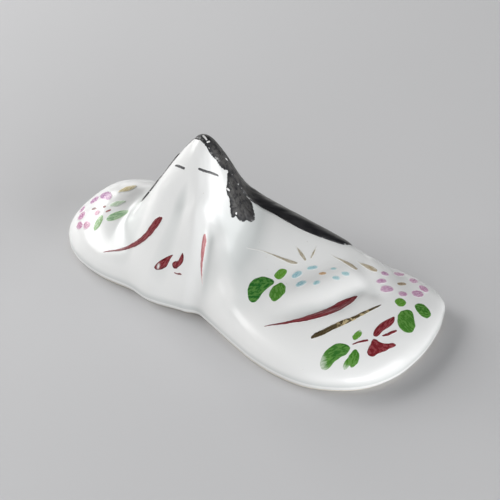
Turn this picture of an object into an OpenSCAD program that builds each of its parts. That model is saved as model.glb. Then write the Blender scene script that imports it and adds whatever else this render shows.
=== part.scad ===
// Chopstick rest: a reclining robed doll, cast hollow in porcelain, glazed and painted.
// Units are millimetres. +Z is up and the table is z = 0. The origin is the middle of the
// footprint, X runs along the length and the face looks towards -Y.
// The form is one height surface over a rounded outline. The outline and every painted
// mark are laid out in plan parts. A part is the length divided by the outline's extent in
// parts, and the same for the width, so all of them follow the length and the width.

/* [Overall] */
// Length of the outline from sleeve to sleeve
rest_l = 70; // [50:1:100]
// Width of the outline from front to back
rest_w = 31.3; // [24:0.1:46]
// Height of the top of the head above the table
head_h = 28.8; // [22:0.2:40]

/* [Robe form] */
// Height of the low sleeves above the table
sleeve_h = 6; // [4:0.2:9]
// Rise of the left sleeve pad
left_pad_rise = 5.3; // [0:0.1:7]
// Rise of the right sleeve pad
right_pad_rise = 3; // [0:0.1:6]
// Rise of the body under the head
body_rise = 9; // [4:0.5:13]
// Rise of the right shoulder beside the head
right_shoulder_rise = 11.2; // [7:0.2:14]
// Rise of the right arm at its cuff
right_cuff_rise = 5.2; // [2:0.2:8]
// Rise of the left shoulder beside the head
left_shoulder_rise = 9; // [5:0.2:12]
// Rise of the left arm at its cuff
left_cuff_rise = 3.6; // [2:0.2:8]
// How softly the arms run into the robe
arm_blend = 3; // [1:0.5:5]
// Height of the tallest robe fold
fold_rise = 1.8; // [0.5:0.1:2.4]

/* [Head] */
// Fall of the head's side for each plan part outwards
head_fall = 1.85; // [1.3:0.05:2.3]
// How softly the head runs into the shoulders
head_blend = 6.5; // [3:0.5:8]

/* [Foot and shell] */
// Height of the widest line above the table
rim_h = 1.6; // [1.4:0.1:3]
// Step in from the widest line to the flat foot
rim_in = 1; // [0.4:0.1:2]
// Thickness of the cast wall
wall_t = 3; // [2:0.1:3.6]
// Thickness of the flat floor
floor_t = 2.2; // [1.6:0.1:3]
// Bore of the vent hole in the floor
vent_d = 4; // [2:0.5:8]

/* [Glaze and enamel] */
// Thickness of the glaze coat
glaze_t = 0.2; // [0.1:0.05:0.4]
// Height of the bare foot below the glaze
bare_h = 1; // [0.6:0.1:1.2]
// Thickness of the painted enamel
enamel_t = 0.18; // [0.1:0.02:0.4]
// Thickness of the black hair enamel
hair_t = 0.4; // [0.2:0.05:0.8]
// Space under the glaze and under the thin enamel
seat_gap = 0.08; // [0.07:0.01:0.12]
// Space under the hair enamel
hair_gap = 0.13; // [0.12:0.01:0.2]

/* [Hidden] */
full_turn = 360;
half_turn = 180;
right_angle = 90;
overrun = 0.5;
// Least height of the hollow over the floor where the sleeves are low.
hollow_low = 0.6;
vent_facets = 48;
glaze_off = seat_gap + glaze_t;
enamel_off = glaze_off + seat_gap;
hair_off = glaze_off + hair_gap;

// Grid of the height surface: spokes round the hub and rings from hub to rim.
spokes = 64;
rings = 23;
ring_even_share = 0.36;
rim_power = 4.2;
hub_share = [-8, 1.5];

// Outline of the widest line, in plan parts, anticlockwise from the right.
outline_shares = [
    [34.3, 7.5], [33, 12.7], [31, 16.1], [26.5, 17.2], [21, 16.8],
    [14.5, 15.6], [7, 15.2], [-1, 15.6], [-9, 16], [-17, 16.2],
    [-24, 16.5], [-30.4, 15.8], [-34.8, 11.8], [-36, 5], [-35.2, -1.4],
    [-30.8, -6], [-25.3, -8.2], [-18.5, -8.7], [-12.8, -9.8], [-6, -9.1],
    [-1.3, -8.9], [2.9, -10.6], [7.3, -12.3], [11.5, -13.8], [16.4, -14.8],
    [21.8, -14.9], [27, -13.1], [30.9, -10.2], [33.6, -5.6], [34.7, 0.8]
];

// Pads and body swellings: middle x, middle y, reach along x, reach along y.
right_pad_shares = [24, 1, 13, 14];
left_pad_shares = [-28.4, 4, 9.5, 10];
body_shares = [-7, 2, 14, 10];

// Arms: shoulder point, cuff point, reach in front, reach behind.
right_arm_shares = [[-2.3, 7], [19, 9], 12, 4];
left_arm_shares = [[-14, 6.5], [-23, 6.5], 6, 8];
arm_turnover_share = 4;

// Head: middle, rounding of its top, narrowing from front to back, lean of its sides.
head_shares = [-8.9, 2.4];
head_round_share = 2;
head_depth_share = 0.9;
head_lean_share = 0.09;
head_lean_soft_share = 3;
head_lean_dir_share = [0.84, 0.54];

// Raised folds, rows of x, y, share of fold_rise, reach.
raised_fold_shares = [
    [[-15, -2.5, 0.5, 2], [-15.5, -7.5, 0.4, 2]],
    [[-6.2, -3.8, 0.7, 1.5], [-4.6, -7.6, 0.45, 1.6]],
    [[-1, -3.8, 0.5, 1.7], [2.6, -8.6, 0.45, 2]],
    [[9, -7.5, 0, 2.2], [16.3, -1.2, 0.67, 2.5], [19.2, 4.4, 0.45, 2.2]]
];

// Sunk folds, rows of x, y, share of fold_rise, reach.
sunk_fold_shares = [
    [[-10, -3.4, 0.85, 2], [-10.2, -8, 0.45, 2.2]],
    [[-11.8, -3.1, 0.25, 1.7], [-9.2, -3.3, 0.45, 1.8], [-7, -2.7, 0.25, 1.6]],
    [[-3.3, -4.6, 0.45, 0.9], [-1.9, -8.7, 0.3, 0.9]],
    [[13.6, -8.6, 0.1, 1.6], [20.4, -1.2, 0.6, 1.6], [21.8, 3.2, 0.45, 1.5]],
    [[18, 9.4, 0.55, 1.6], [24.2, 4.6, 0.4, 1.6]]
];

// Cavity inside the cast: its own coarser grid.
cavity_spokes = 32;
cavity_ring_shares = [0.12, 0.28, 0.46, 0.64, 0.8, 0.92, 1];
// Extra wall under the head for each millimetre above the sleeves, as a share.
head_wall_share = 0.14;
vent_share = [4, 0];

// Painted strokes, rows of x, y, half width in plan parts.
left_eye_shares = [[-12.7, -0.22, 0.1], [-11.46, -0.64, 0.12], [-10.32, -0.85, 0.1]];
right_eye_shares = [
    [-7.84, -0.66, 0.1], [-7.02, -0.46, 0.12], [-6.31, -0.14, 0.12], [-5.61, 0.34, 0.12],
    [-5.02, 0.88, 0.1]
];
left_red_shares = [
    [-23.68, -7.37, 0.08], [-20.35, -6.76, 0.17], [-18.35, -6.43, 0.2], [-16.86, -6.32, 0.24],
    [-15.46, -6.12, 0.28], [-14.57, -5.74, 0.38], [-13.88, -5.32, 0.43], [-13.19, -4.97, 0.32],
    [-12.58, -4.7, 0.14]
];
// Drop and hook at the chest: the point that the rings close on, then the outline.
chest_drop_shares = [
    [[-10.47, -7.76], [
        [-8.87, -6.97], [-9.89, -7.18], [-10.89, -7.54], [-11.67, -7.91], [-12.15, -8.3],
        [-11.74, -8.43], [-11.14, -8.37], [-10.44, -8.2], [-9.75, -7.93], [-9.46, -7.62],
        [-9.17, -7.25]
    ]],
    [[-7.88, -7.51], [
        [-7.17, -6.7], [-7.39, -6.94], [-7.68, -7.22], [-8.32, -7.36], [-8.74, -7.55],
        [-8.63, -7.75], [-8.22, -7.84], [-7.73, -7.78], [-7.47, -7.64], [-7.04, -7.43],
        [-6.71, -7.18], [-6.74, -6.89]
    ]]
];
chest_tail_shares = [
    [-8.1, -8.05, 0.05], [-7.5, -8.03, 0.06], [-7, -7.96, 0.08], [-6.59, -7.94, 0.05]
];
centre_red_shares = [
    [-4.15, -4.39, 0.14], [-4.09, -4.78, 0.36], [-3.94, -5.41, 0.33], [-3.73, -6.04, 0.26],
    [-3.43, -6.61, 0.22], [-3.01, -7.1, 0.16], [-2.51, -7.56, 0.08]
];
right_red_shares = [
    [12.11, -11.22, 0.1], [14.54, -9.56, 0.27], [15.87, -8.4, 0.38], [17.1, -7.26, 0.56],
    [18.25, -5.95, 0.74], [19.33, -4.52, 0.9], [20.28, -2.8, 1.04], [20.97, -0.9, 1.04],
    [21.64, 0.59, 0.85], [22.02, 1.61, 0.5], [22.26, 2.17, 0.24]
];
branch_shares = [
    [20.46, -9.81, 0.26], [20.88, -8.94, 0.46], [21.5, -8.02, 0.52], [22.22, -6.72, 0.48],
    [22.94, -5.36, 0.5], [23.56, -4.2, 0.48], [24.27, -2.92, 0.36], [24.87, -1.33, 0.3],
    [25.46, 0.28, 0.27], [25.94, 1.7, 0.22], [26.33, 3.01, 0.12]
];
grass_shares = [
    [[1.94, -1.16, 0.06], [4.34, -0.17, 0.1], [6.45, 0.27, 0.16], [8.38, 0.58, 0.24],
     [10.01, 0.91, 0.32], [10.92, 1.23, 0.16]],
    [[9.14, 3.46, 0.1], [10.49, 2.88, 0.32], [11.83, 2.32, 0.24]],
    [[12.01, 5.48, 0.07], [12.23, 4.04, 0.22], [12.34, 3.11, 0.16]],
    [[14.5, 5.63, 0.08], [16.69, 5.93, 0.26], [18.4, 5.98, 0.5], [19.65, 6.03, 0.4]],
    [[18.32, 7.99, 0.16], [19.95, 8.37, 0.42], [21.32, 8.53, 0.52], [22.11, 8.75, 0.3]]
];
left_gold_shares = [[[-27.51, 2.73, 0.2], [-26.67, 4.38, 0.8], [-25.98, 6.25, 0.3]]];
left_pale_shares = [[[-27.21, -0.36, 0.2], [-26.18, 0.39, 0.6], [-25.05, 1.62, 0.2]]];
blossom_stem_shares = [
    [[26.77, -7.1, 0.08], [27.58, -5.77, 0.15], [28.38, -4.68, 0.14]],
    [[29.68, -2.29, 0.16], [30.08, -1.49, 0.24], [30.47, -0.28, 0.26], [30.77, 0.62, 0.16]]
];
// Blossom petals in the same form as the leaves.
blossom_petal_shares = [
    [[28.61, -1.15], [
        [29.1, 2.72], [28.77, 1.82], [28.45, 0.71], [28.19, -0.57], [28.12, -1.85], [28.26, -2.83],
        [28.59, -3.36], [29.04, -3.15], [29.14, -2.56], [29, -1.98], [28.97, -1.21], [29.13, -0.16],
        [29.37, 0.95], [29.42, 2.05]
    ]],
    [[29.95, -4.93], [
        [28.83, -4.47], [29.02, -5.1], [29.12, -5.91], [29.28, -6.67], [29.83, -6.89],
        [30.43, -6.48], [30.73, -5.66], [31.1, -4.84], [31.51, -4.07], [31.63, -3.34], [31.93, -2.6],
        [32.04, -1.86], [31.54, -1.93], [31, -2.74], [30.42, -3.35], [29.83, -3.56], [29.34, -3.53],
        [28.88, -3.84]
    ]]
];

// Leaves: the point that the rings close on, then the outline, anticlockwise.
chest_leaf_shares = [
    [[6.87, -5.46], [
        [9.16, -3.59], [8.75, -3.13], [7.91, -3.08], [6.88, -3.36], [5.97, -4.17], [5.56, -5.15],
        [5.63, -6.2], [6.13, -7.13], [6.96, -7.94], [7.73, -8.2], [8.24, -7.92], [8.42, -7.1],
        [8.48, -6.22], [8.57, -5.33], [8.86, -4.45]
    ]],
    [[10.48, -4.68], [
        [9.61, -3.55], [9.32, -4.31], [9.4, -5.26], [9.83, -5.98], [10.58, -6.49], [11.3, -6.37],
        [11.7, -5.58], [11.95, -4.69], [11.79, -3.8], [11.28, -3.17], [10.34, -2.89]
    ]],
    [[9.33, -1.81], [
        [9.45, -2.68], [9.88, -2.32], [10.14, -1.51], [10.09, -0.77], [9.64, -0.55], [8.92, -0.84],
        [8.54, -1.52], [8.44, -2.32], [8.89, -2.67]
    ]]
];
// Petals and dabs, rows of x, y, long reach, short reach, turn in degrees.
blue_petal_shares = [
    [11.85, -0.43, 1.05, 0.54, 55], [13.5, -1.75, 1, 0.58, 53], [13.47, 1.9, 1.02, 0.36, 41],
    [15.84, -0.6, 0.68, 0.42, 55], [17.99, 2.05, 0.66, 0.36, 36], [18.82, 3.8, 0.74, 0.38, 41],
    [16.68, 3.49, 0.56, 0.32, 37]
];
blue_middle_shares = [[15.64, 1.65, 0.74, 0.4, 31]];
pink_petal_shares = [
    [23.11, 9.57, 0.75, 0.42, 67], [23.69, 7.55, 0.9, 0.42, 56], [25.19, 6.86, 1.16, 0.64, 58],
    [27.37, 8.44, 1, 0.52, 72], [28.69, 11.32, 1.3, 0.8, 75], [28.61, 13.61, 0.85, 0.8, 0],
    [26.4, 13.95, 0.9, 0.69, 85], [23.93, 13.19, 1.3, 0.56, 72]
];
pink_middle_shares = [[25.8, 10.8, 1.2, 0.46, 75]];
upper_leaf_shares = [
    [[28.08, 6.41], [
        [27.8, 5.27], [28.39, 5.22], [28.82, 5.65], [29.01, 6.34], [28.81, 7.18], [28.19, 7.43],
        [27.58, 7.12], [27.33, 6.4], [27.39, 5.65]
    ]],
    [[31.24, 8.58], [
        [30.78, 7.34], [31.69, 7.19], [32.33, 7.56], [32.63, 8.15], [32.54, 9.27], [31.92, 9.86],
        [31.16, 10.05], [30.44, 9.95], [29.96, 9.13], [29.96, 8.02]
    ]],
    [[30.76, 3.84], [
        [29.18, 4.25], [29.44, 3.23], [29.98, 2.14], [30.64, 1.47], [31.39, 1.45], [32.04, 1.72],
        [32.43, 2.29], [32.53, 3.32], [32.23, 4.44], [31.5, 5.26], [30.92, 6.07], [30.27, 6.45],
        [29.61, 6.03], [29.23, 5.11]
    ]]
];
lower_leaf_shares = [
    [[25.04, -10.08], [
        [26.95, -8.27], [26.76, -7.69], [26, -7.61], [25.08, -8.01], [24.37, -8.73], [23.85, -9.77],
        [23.64, -10.85], [23.69, -11.89], [24.01, -12.73], [24.65, -13.07], [25.3, -12.77],
        [25.68, -12.13], [25.85, -11.31], [26.13, -10.52], [26.48, -9.77], [26.84, -9.18]
    ]],
    [[28.13, -8.68], [
        [27.37, -7.87], [27.29, -8.54], [27.28, -9.37], [27.2, -10.16], [27.31, -10.94],
        [27.61, -11.23], [27.96, -10.98], [28.16, -10.29], [28.46, -10.38], [28.81, -10.04],
        [29.02, -9.13], [28.83, -8.15], [28.33, -7.54], [27.71, -7.42]
    ]],
    [[26.51, -5.22], [
        [26.74, -6.13], [27, -5.5], [27.1, -4.8], [26.92, -4.12], [26.43, -3.93], [26.13, -4.34],
        [25.99, -5.15], [26, -5.91], [26.39, -6.29]
    ]]
];
left_petal_shares = [
    [-29.34, 1.75, 1.7, 0.85, 151], [-31.39, 1.11, 0.95, 0.8, 130], [-33.15, -0.15, 0.8, 0.5, 117],
    [-32.1, -1.85, 0.9, 0.6, 141], [-31.31, -3.55, 1, 0.42, 148], [-29.57, -3.81, 0.9, 0.5, 154],
    [-28.7, -1.85, 0.6, 0.5, 148]
];
left_leaf_shares = [[-27.35, -3.4, 1.4, 0.7, 97], [-24.64, -1.37, 2.1, 0.85, 41]];
left_stamen_shares = [
    [-29.84, -1.09, 0.6, 0.3, 0], [-27.97, -0.68, 0.38, 0.28, 16], [-26.75, -1.22, 0.55, 0.24, 39]
];

// Hair outlines in plan parts, anticlockwise, each with the point that its rings close on.
hair_back_hub_share = [-6.9, 4.5];
hair_back_shares = [
    [-10.25, 2.2], [-9.47, 1.83], [-8.97, 1.78], [-8.31, 1.64], [-7.82, 1.57], [-7.33, 1.48],
    [-6.74, 1.46], [-6.16, 1.74], [-5.73, 1.83], [-5.2, 2.07], [-4.87, 2.65], [-4.65, 3.28],
    [-3.87, 3.74], [-3.18, 4.21], [-2.39, 4.6], [-1.59, 4.83], [-0.93, 5.03], [0.05, 5.49],
    [1.3, 5.64], [3.08, 5.66], [5.68, 5.81], [8.37, 6.15], [10.86, 6.82], [13.06, 7.73],
    [14.85, 8.77], [15.35, 9.45], [15.55, 10.1], [15.6, 10.9], [15.4, 11.8], [14.2, 13.3],
    [10.6, 13.7], [7, 13.9], [4.3, 14], [1.6, 14.1], [-1, 14.2], [-3.7, 14.3], [-6.4, 14.4],
    [-9, 14.5], [-12.5, 14.5], [-16, 14.3], [-19.2, 12.5], [-19.6, 10.7], [-19.8, 9], [-19.75, 7.6],
    [-19.4, 6.2], [-18.6, 4.6], [-17, 4.36], [-15.5, 3.88], [-14.1, 3.42],
    [-13, 2.95], [-12.2, 2.85], [-11.2, 2.9], [-10.5, 2.75]
];
right_lock_hub_share = [-1.5, 2.5];
right_lock_shares = [
    [-4.67, 3.15], [-4.4, 2.51], [-3.97, 1.81], [-3.69, 1.21], [-3.36, 0.87], [-3.01, 0.88],
    [-2.6, 0.61], [-2.26, 0.17], [-1.93, -0.13], [-1.61, -0.19], [-1.45, 0.05], [-1.4, 0.47],
    [-1.26, 0.6], [-0.93, 0.64], [-0.5, 0.96], [-0.17, 1.42], [-0.07, 1.86], [0.27, 2.1],
    [0.72, 2.48], [0.91, 2.99], [0.68, 3.59], [0.13, 4.11], [-0.39, 4.51], [-0.8, 4.85],
    [-1.02, 4.9], [-1.58, 4.73], [-2.39, 4.5], [-3.19, 4.11], [-3.89, 3.64], [-4.5, 3.29]
];
left_lock_hub_share = [-17, 3];
left_lock_shares = [
    [-13.2, 2.55], [-13.9, 3.12], [-15.4, 3.62], [-17, 4.1], [-18.7, 4.3], [-20.2, 3.8],
    [-21.3, 2.95], [-21.9, 2.1], [-21.5, 1.55], [-20.9, 1.15], [-20.2, 1.25], [-19.2, 1.5],
    [-18, 1.75], [-16.6, 2], [-15.2, 2.2], [-14, 2.4]
];

leg_steps = 4;
curve_steps = 2;
leaf_ring_shares = [0.45, 0.78, 1];
petal_spokes = 12;
petal_ring_shares = [1];
lock_ring_shares = [0.35, 0.7, 1];
hair_ring_shares = [0.06, 0.13, 0.21, 0.29, 0.37, 0.46, 0.55, 0.64, 0.73, 0.82, 0.91, 1];
// Edges of the enamel: height share left where the paint thins out.
edge_share = 0.3;

function wrap(k, n) = (k % n + n) % n;

// Outline reach from the hub for any turn, on smooth curves through the outline's points.
outline_n = len(outline_shares);
outline_turn = [for (s = outline_shares)
    let (d = s - hub_share)
    wrap(atan2(d[1], d[0]), full_turn)];
outline_reach = [for (s = outline_shares) norm(s - hub_share)];
function turn_at(k) = outline_turn[wrap(k, outline_n)] + full_turn * floor(k / outline_n);
function reach_at(k) = outline_reach[wrap(k, outline_n)];
function bend(a, b, c, q) =
    ((q[1] - q[0]) / (b - a) * (c - b) + (q[2] - q[1]) / (c - b) * (b - a)) / (c - a);
function reach(turn) =
    let (t = turn < outline_turn[0] ? turn + full_turn : turn,
         k = len([for (a = outline_turn) if (a <= t) a]) - 1,
         t0 = turn_at(k - 1), t1 = turn_at(k), t2 = turn_at(k + 1), t3 = turn_at(k + 2),
         r0 = reach_at(k - 1), r1 = reach_at(k), r2 = reach_at(k + 1), r3 = reach_at(k + 2),
         h = t2 - t1, u = (t - t1) / h,
         m1 = h * bend(t0, t1, t2, [r0, r1, r2]), m2 = h * bend(t1, t2, t3, [r1, r2, r3]))
    (2 * u * u * u - 3 * u * u + 1) * r1 + (u * u * u - 2 * u * u + u) * m1
    + (3 * u * u - 2 * u * u * u) * r2 + (u * u * u - u * u) * m2;

// Height of the robe and head over a plan point q in parts.
function soft_max(a, b, k) = let (m = max(k - abs(a - b), 0) / k) max(a, b) + m * m * m * k / 6;
function swell(q, form) =
    let (u = (q[0] - form[0]) / form[2], v = (q[1] - form[1]) / form[3]) exp(-(u * u + v * v));
function along(q, a, b) = let (d = b - a) min(max((q - a) * d / (d * d), 0), 1);
function arm(q, a, b, rise_a, rise_b, front, back) =
    let (t = along(q, a, b), e = q - a - (b - a) * t, d = (b - a) / norm(b - a), f = q - a,
         side = d[0] * f[1] - d[1] * f[0],
         lean = side / sqrt(side * side + pow(arm_turnover_share, 2)),
         w = (front + back) / 2 + (back - front) / 2 * lean)
    (rise_a + (rise_b - rise_a) * t) * exp(-(e * e) / (w * w));
function fold_leg(q, a, b) =
    let (pa = [a[0], a[1]], pb = [b[0], b[1]], t = along(q, pa, pb), e = q - pa - (pb - pa) * t,
         w = a[3] + (b[3] - a[3]) * t)
    (a[2] + (b[2] - a[2]) * t) * exp(-(e * e) / (w * w));
function fold(q, rows) = max([for (i = [0:len(rows) - 2]) fold_leg(q, rows[i], rows[i + 1])]);
function folds(q, tables) = fold_rise * [for (rows = tables) fold(q, rows)] * [for (rows = tables) 1];
function head(q) =
    let (f = q - head_shares, side = f * head_lean_dir_share,
         w = 1 - head_lean_share * side / sqrt(side * side + pow(head_lean_soft_share, 2)),
         u = f[0] / w, v = f[1] / head_depth_share)
    head_h - head_fall * (sqrt(u * u + v * v + pow(head_round_share, 2)) - head_round_share);
function height(q) =
    let (pads = sleeve_h + right_pad_rise * swell(q, right_pad_shares)
             + left_pad_rise * swell(q, left_pad_shares),
         body = soft_max(pads, sleeve_h + body_rise * swell(q, body_shares), arm_blend),
         ra = right_arm_shares,
         right = soft_max(body, sleeve_h
             + arm(q, ra[0], ra[1], right_shoulder_rise, right_cuff_rise, ra[2], ra[3]), arm_blend),
         la = left_arm_shares,
         left = soft_max(right, sleeve_h
             + arm(q, la[0], la[1], left_shoulder_rise, left_cuff_rise, la[2], la[3]), arm_blend))
    soft_max(left, head(q), head_blend) + folds(q, raised_fold_shares) - folds(q, sunk_fold_shares);
function roll(share) = sqrt(max(1 - pow(share, rim_power), 0));

// Rows of the surface grid: rings over the top, then the turn under the rim to the foot.
spoke_turn = [for (i = [0:spokes - 1]) full_turn * i / spokes];
spoke_reach = [for (t = spoke_turn) reach(t)];
spoke_arm = [for (i = [0:spokes - 1]) spoke_reach[i] * [cos(spoke_turn[i]), sin(spoke_turn[i])]];
rim_x = [for (s = spoke_arm) (s + hub_share)[0]];
rim_y = [for (s = spoke_arm) (s + hub_share)[1]];
part_l = rest_l / (max(rim_x) - min(rim_x));
part_w = rest_w / (max(rim_y) - min(rim_y));
mid_share = [(max(rim_x) + min(rim_x)) / 2, (max(rim_y) + min(rim_y)) / 2];
function plan(q) = [(q[0] - mid_share[0]) * part_l, (q[1] - mid_share[1]) * part_w];
function with_z(p, z) = [p[0], p[1], z];
ring_share = [for (j = [0:rings]) let (s = j / rings)
    ring_even_share * s + (1 - ring_even_share) * (1 - cos(half_turn * s)) / 2];
bare_turn = asin(1 - bare_h / rim_h);
under_turns = [bare_turn, (bare_turn + right_angle) / 2, right_angle];
function top_z(q, share) = rim_h + (height(q) - rim_h) * roll(share);
function top_point(i, share) =
    let (q = hub_share + spoke_arm[i] * share)
    with_z(plan(q), top_z(q, share));
function under_point(i, a) =
    let (p = plan(hub_share + spoke_arm[i]), d = p - plan(hub_share))
    with_z(p - d / norm(d) * rim_in * (1 - cos(a)), rim_h * (1 - sin(a)));
crown = with_z(plan(hub_share), height(hub_share));
body_rows = concat(
    [for (j = [1:rings]) [for (i = [0:spokes - 1]) top_point(i, ring_share[j])]],
    [for (a = under_turns) [for (i = [0:spokes - 1]) under_point(i, a)]]
);
glaze_rows = rings + 1;

// Outward directions at the grid's points, from their neighbours.
function unit(v) = v / norm(v);
function row_at(j) = j < 0 ? [for (i = [0:spokes - 1]) crown] : body_rows[j];
body_out = [for (j = [0:glaze_rows - 1]) [for (i = [0:spokes - 1])
    unit(cross(row_at(j + 1)[i] - row_at(j - 1)[i],
               body_rows[j][wrap(i + 1, spokes)] - body_rows[j][wrap(i - 1, spokes)]))]];
crown_out = unit([for (k = [0:2]) [for (n = body_out[0]) n[k]] * [for (n = body_out[0]) 1]]);
function skin_rows(off) =
    [for (j = [0:glaze_rows - 1]) [for (i = [0:spokes - 1]) body_rows[j][i] + body_out[j][i] * off]];

// Point on the faceted skin over plan point q, raised by off along the outward direction.
function lifted(j, i, off) = j < 0 ? crown + crown_out * off : body_rows[j][i] + body_out[j][i] * off;
function skin(q, off) =
    let (f = q - hub_share, i = floor(wrap(atan2(f[1], f[0]), full_turn) * spokes / full_turn) % spokes,
         n = (i + 1) % spokes, u = spoke_arm[i], v = spoke_arm[n],
         area = u[0] * v[1] - u[1] * v[0],
         a = (f[0] * v[1] - f[1] * v[0]) / area, b = (u[0] * f[1] - u[1] * f[0]) / area,
         j = min(len([for (s = ring_share) if (s <= a + b) s]), rings) - 1,
         r0 = ring_share[j], r1 = ring_share[j + 1],
         wd = b / r1, wc = (a - r0 * (1 - wd)) / (r1 - r0),
         wa = j == 0 ? 0 : a / r0, wf = (b - r0 * (1 - wa)) / (r1 - r0))
    wc >= 0
    ? lifted(j - 1, i, off) * (1 - wc - wd) + lifted(j, i, off) * wc + lifted(j, n, off) * wd
    : lifted(j - 1, i, off) * wa + lifted(j - 1, n, off) * (1 - wa - wf) + lifted(j, n, off) * wf;

// One closed solid from a stack of rings between two end points. Cells are split along one
// diagonal up to row half and along the other after it, so the two sides of a coat match.
module stack(first, rows, last, half) {
    n = len(rows[0]);
    m = len(rows);
    end = n * m + 1;
    polyhedron(
        points = concat([first], [for (r = rows) each r], [last]),
        faces = concat(
            [for (i = [0:n - 1]) [0, 1 + (i + 1) % n, 1 + i]],
            [for (j = [0:m - 2], i = [0:n - 1])
                let (a = 1 + j * n + i, b = 1 + j * n + (i + 1) % n, c = a + n, d = b + n)
                each j < half ? [[a, d, c], [a, b, d]] : [[a, b, c], [b, d, c]]],
            [for (i = [0:n - 1]) [end, 1 + (m - 1) * n + i, 1 + (m - 1) * n + (i + 1) % n]]
        )
    );
}

function reversed(rows) = [for (j = [len(rows) - 1:-1:0]) rows[j]];

// A flat mark of paint: rings about a hub, raised towards the hub and thin at the edge.
function swell_share(s) = edge_share + (1 - edge_share) * sqrt(1 - s * s);
function mark_ring(hub, edge, s, off) = [for (q = edge) skin(hub + (q - hub) * s, off)];
module mark(hub, edge, shares, off, t) {
    stack(
        skin(hub, off + t),
        concat(
            [for (s = shares) mark_ring(hub, edge, s, off + t * swell_share(s))],
            [for (s = reversed(shares)) mark_ring(hub, edge, s, off)]
        ),
        skin(hub, off),
        len(shares)
    );
}

// Point a share u of the way from b to c on a smooth curve through a, b, c and d.
function between(a, b, c, d, u) =
    b + (c - a) / 2 * u
    + (2 * a - 5 * b + 4 * c - d) / 2 * u * u
    + (3 * b - a - 3 * c + d) / 2 * u * u * u;

// Closed smooth curve through hand-placed points.
function closed_curve(pts) =
    let (n = len(pts))
    [for (k = [0:n - 1], s = [0:curve_steps - 1])
        between(pts[wrap(k - 1, n)], pts[k], pts[wrap(k + 1, n)], pts[wrap(k + 2, n)], s / curve_steps)];

// Petal: an ellipse about its middle.
function petal_edge(row) =
    [for (i = [0:petal_spokes - 1])
        let (f = full_turn * i / petal_spokes, x = row[2] * cos(f), y = row[3] * sin(f))
        [row[0] + x * cos(row[4]) - y * sin(row[4]), row[1] + x * sin(row[4]) + y * cos(row[4])]];
module petals(rows) {
    for (row = rows)
        mark([row[0], row[1]], petal_edge(row), petal_ring_shares, enamel_off, enamel_t);
}
module leaves(rows) {
    for (row = rows)
        mark(row[0], closed_curve(row[1]), leaf_ring_shares, enamel_off, enamel_t);
}

// Brush stroke: a lens section carried along a smooth line, thin at both ends.
function open_curve(pts) =
    let (n = len(pts))
    concat(
        [for (k = [0:n - 2], s = [0:leg_steps - 1])
            between(pts[max(k - 1, 0)], pts[k], pts[k + 1], pts[min(k + 2, n - 1)], s / leg_steps)],
        [pts[n - 1]]
    );
function flat(p) = [p[0], p[1]];
module stroke(rows, t) {
    line = open_curve(rows);
    n = len(line);
    way = [for (k = [0:n - 1]) unit(flat(line[min(k + 1, n - 1)]) - flat(line[max(k - 1, 0)]))];
    left = [for (k = [0:n - 1]) flat(line[k]) + [-way[k][1], way[k][0]] * line[k][2]];
    right = [for (k = [0:n - 1]) flat(line[k]) - [-way[k][1], way[k][0]] * line[k][2]];
    stack(
        skin(flat(line[0]), enamel_off + t * edge_share),
        [for (k = [0:n - 1]) [
            skin(left[k], enamel_off + t * edge_share), skin(flat(line[k]), enamel_off),
            skin(right[k], enamel_off + t * edge_share), skin(flat(line[k]), enamel_off + t)
        ]],
        skin(flat(line[n - 1]), enamel_off + t * edge_share),
        n
    );
}
module strokes(tables) {
    for (rows = tables)
        stroke(rows, enamel_t);
}

// Hollow of the cast, wall_t inside the outline and under the top.
function hollow_reach(i) =
    let (turn = full_turn * i / cavity_spokes, a = reach(turn) * [cos(turn), sin(turn)],
         p = [a[0] * part_l, a[1] * part_w])
    a * (1 - (wall_t + rim_in) / norm(p));
hollow_arm = [for (i = [0:cavity_spokes - 1]) hollow_reach(i)];
function roof_z(q, share) =
    let (h = height(q), z = h - wall_t - head_wall_share * max(h - sleeve_h, 0))
    floor_t + max(z - floor_t, hollow_low) * roll(share);
module hollow() {
    hub = plan(hub_share);
    stack(
        with_z(hub, roof_z(hub_share, 0)),
        [for (s = cavity_ring_shares) [for (a = hollow_arm)
            let (q = hub_share + a * s) with_z(plan(q), roof_z(q, s))]],
        with_z(hub, floor_t),
        len(cavity_ring_shares)
    );
}

// Hollow porcelain casting with a flat bare foot and a vent hole.
module porcelain_body() {
    color("#efeae0")
    difference() {
        stack(crown, body_rows, with_z(plan(hub_share), 0), len(body_rows));
        hollow();
        translate(with_z(plan(vent_share), -overrun))
            cylinder(d = vent_d, h = floor_t + 2 * overrun, $fn = vent_facets);
    }
}

// Glaze coat over the whole casting down to the bare foot.
module white_glaze() {
    color("#f4f6f6")
    stack(lifted(-1, 0, glaze_off), concat(skin_rows(glaze_off), reversed(skin_rows(seat_gap))),
        lifted(-1, 0, seat_gap), glaze_rows);
}

// Black hair over the crown and down the back.
module hair_back() {
    color("#26262a")
    mark(hair_back_hub_share, closed_curve(hair_back_shares), hair_ring_shares, hair_off, hair_t);
}

// Side lock that hangs beside the face on the right.
module hair_lock_right() {
    color("#26262a")
    mark(right_lock_hub_share, closed_curve(right_lock_shares), lock_ring_shares, hair_off, hair_t);
}

// Side lock that hangs beside the face on the left.
module hair_lock_left() {
    color("#26262a")
    mark(left_lock_hub_share, closed_curve(left_lock_shares), lock_ring_shares, hair_off, hair_t);
}

module left_eye_stroke() {
    color("#3a3a40")
    strokes([left_eye_shares]);
}

module right_eye_stroke() {
    color("#3a3a40")
    strokes([right_eye_shares]);
}

module left_sleeve_red_stroke() {
    color("#8c2028")
    strokes([left_red_shares]);
}

// A red drop and a small red hook with its tail at the chest.
module chest_red_strokes() {
    color("#8c2028") {
        leaves(chest_drop_shares);
        strokes([chest_tail_shares]);
    }
}

// Pale red stroke down the middle fold of the robe.
module centre_fold_red_stroke() {
    color("#b86068")
    strokes([centre_red_shares]);
}

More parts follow.
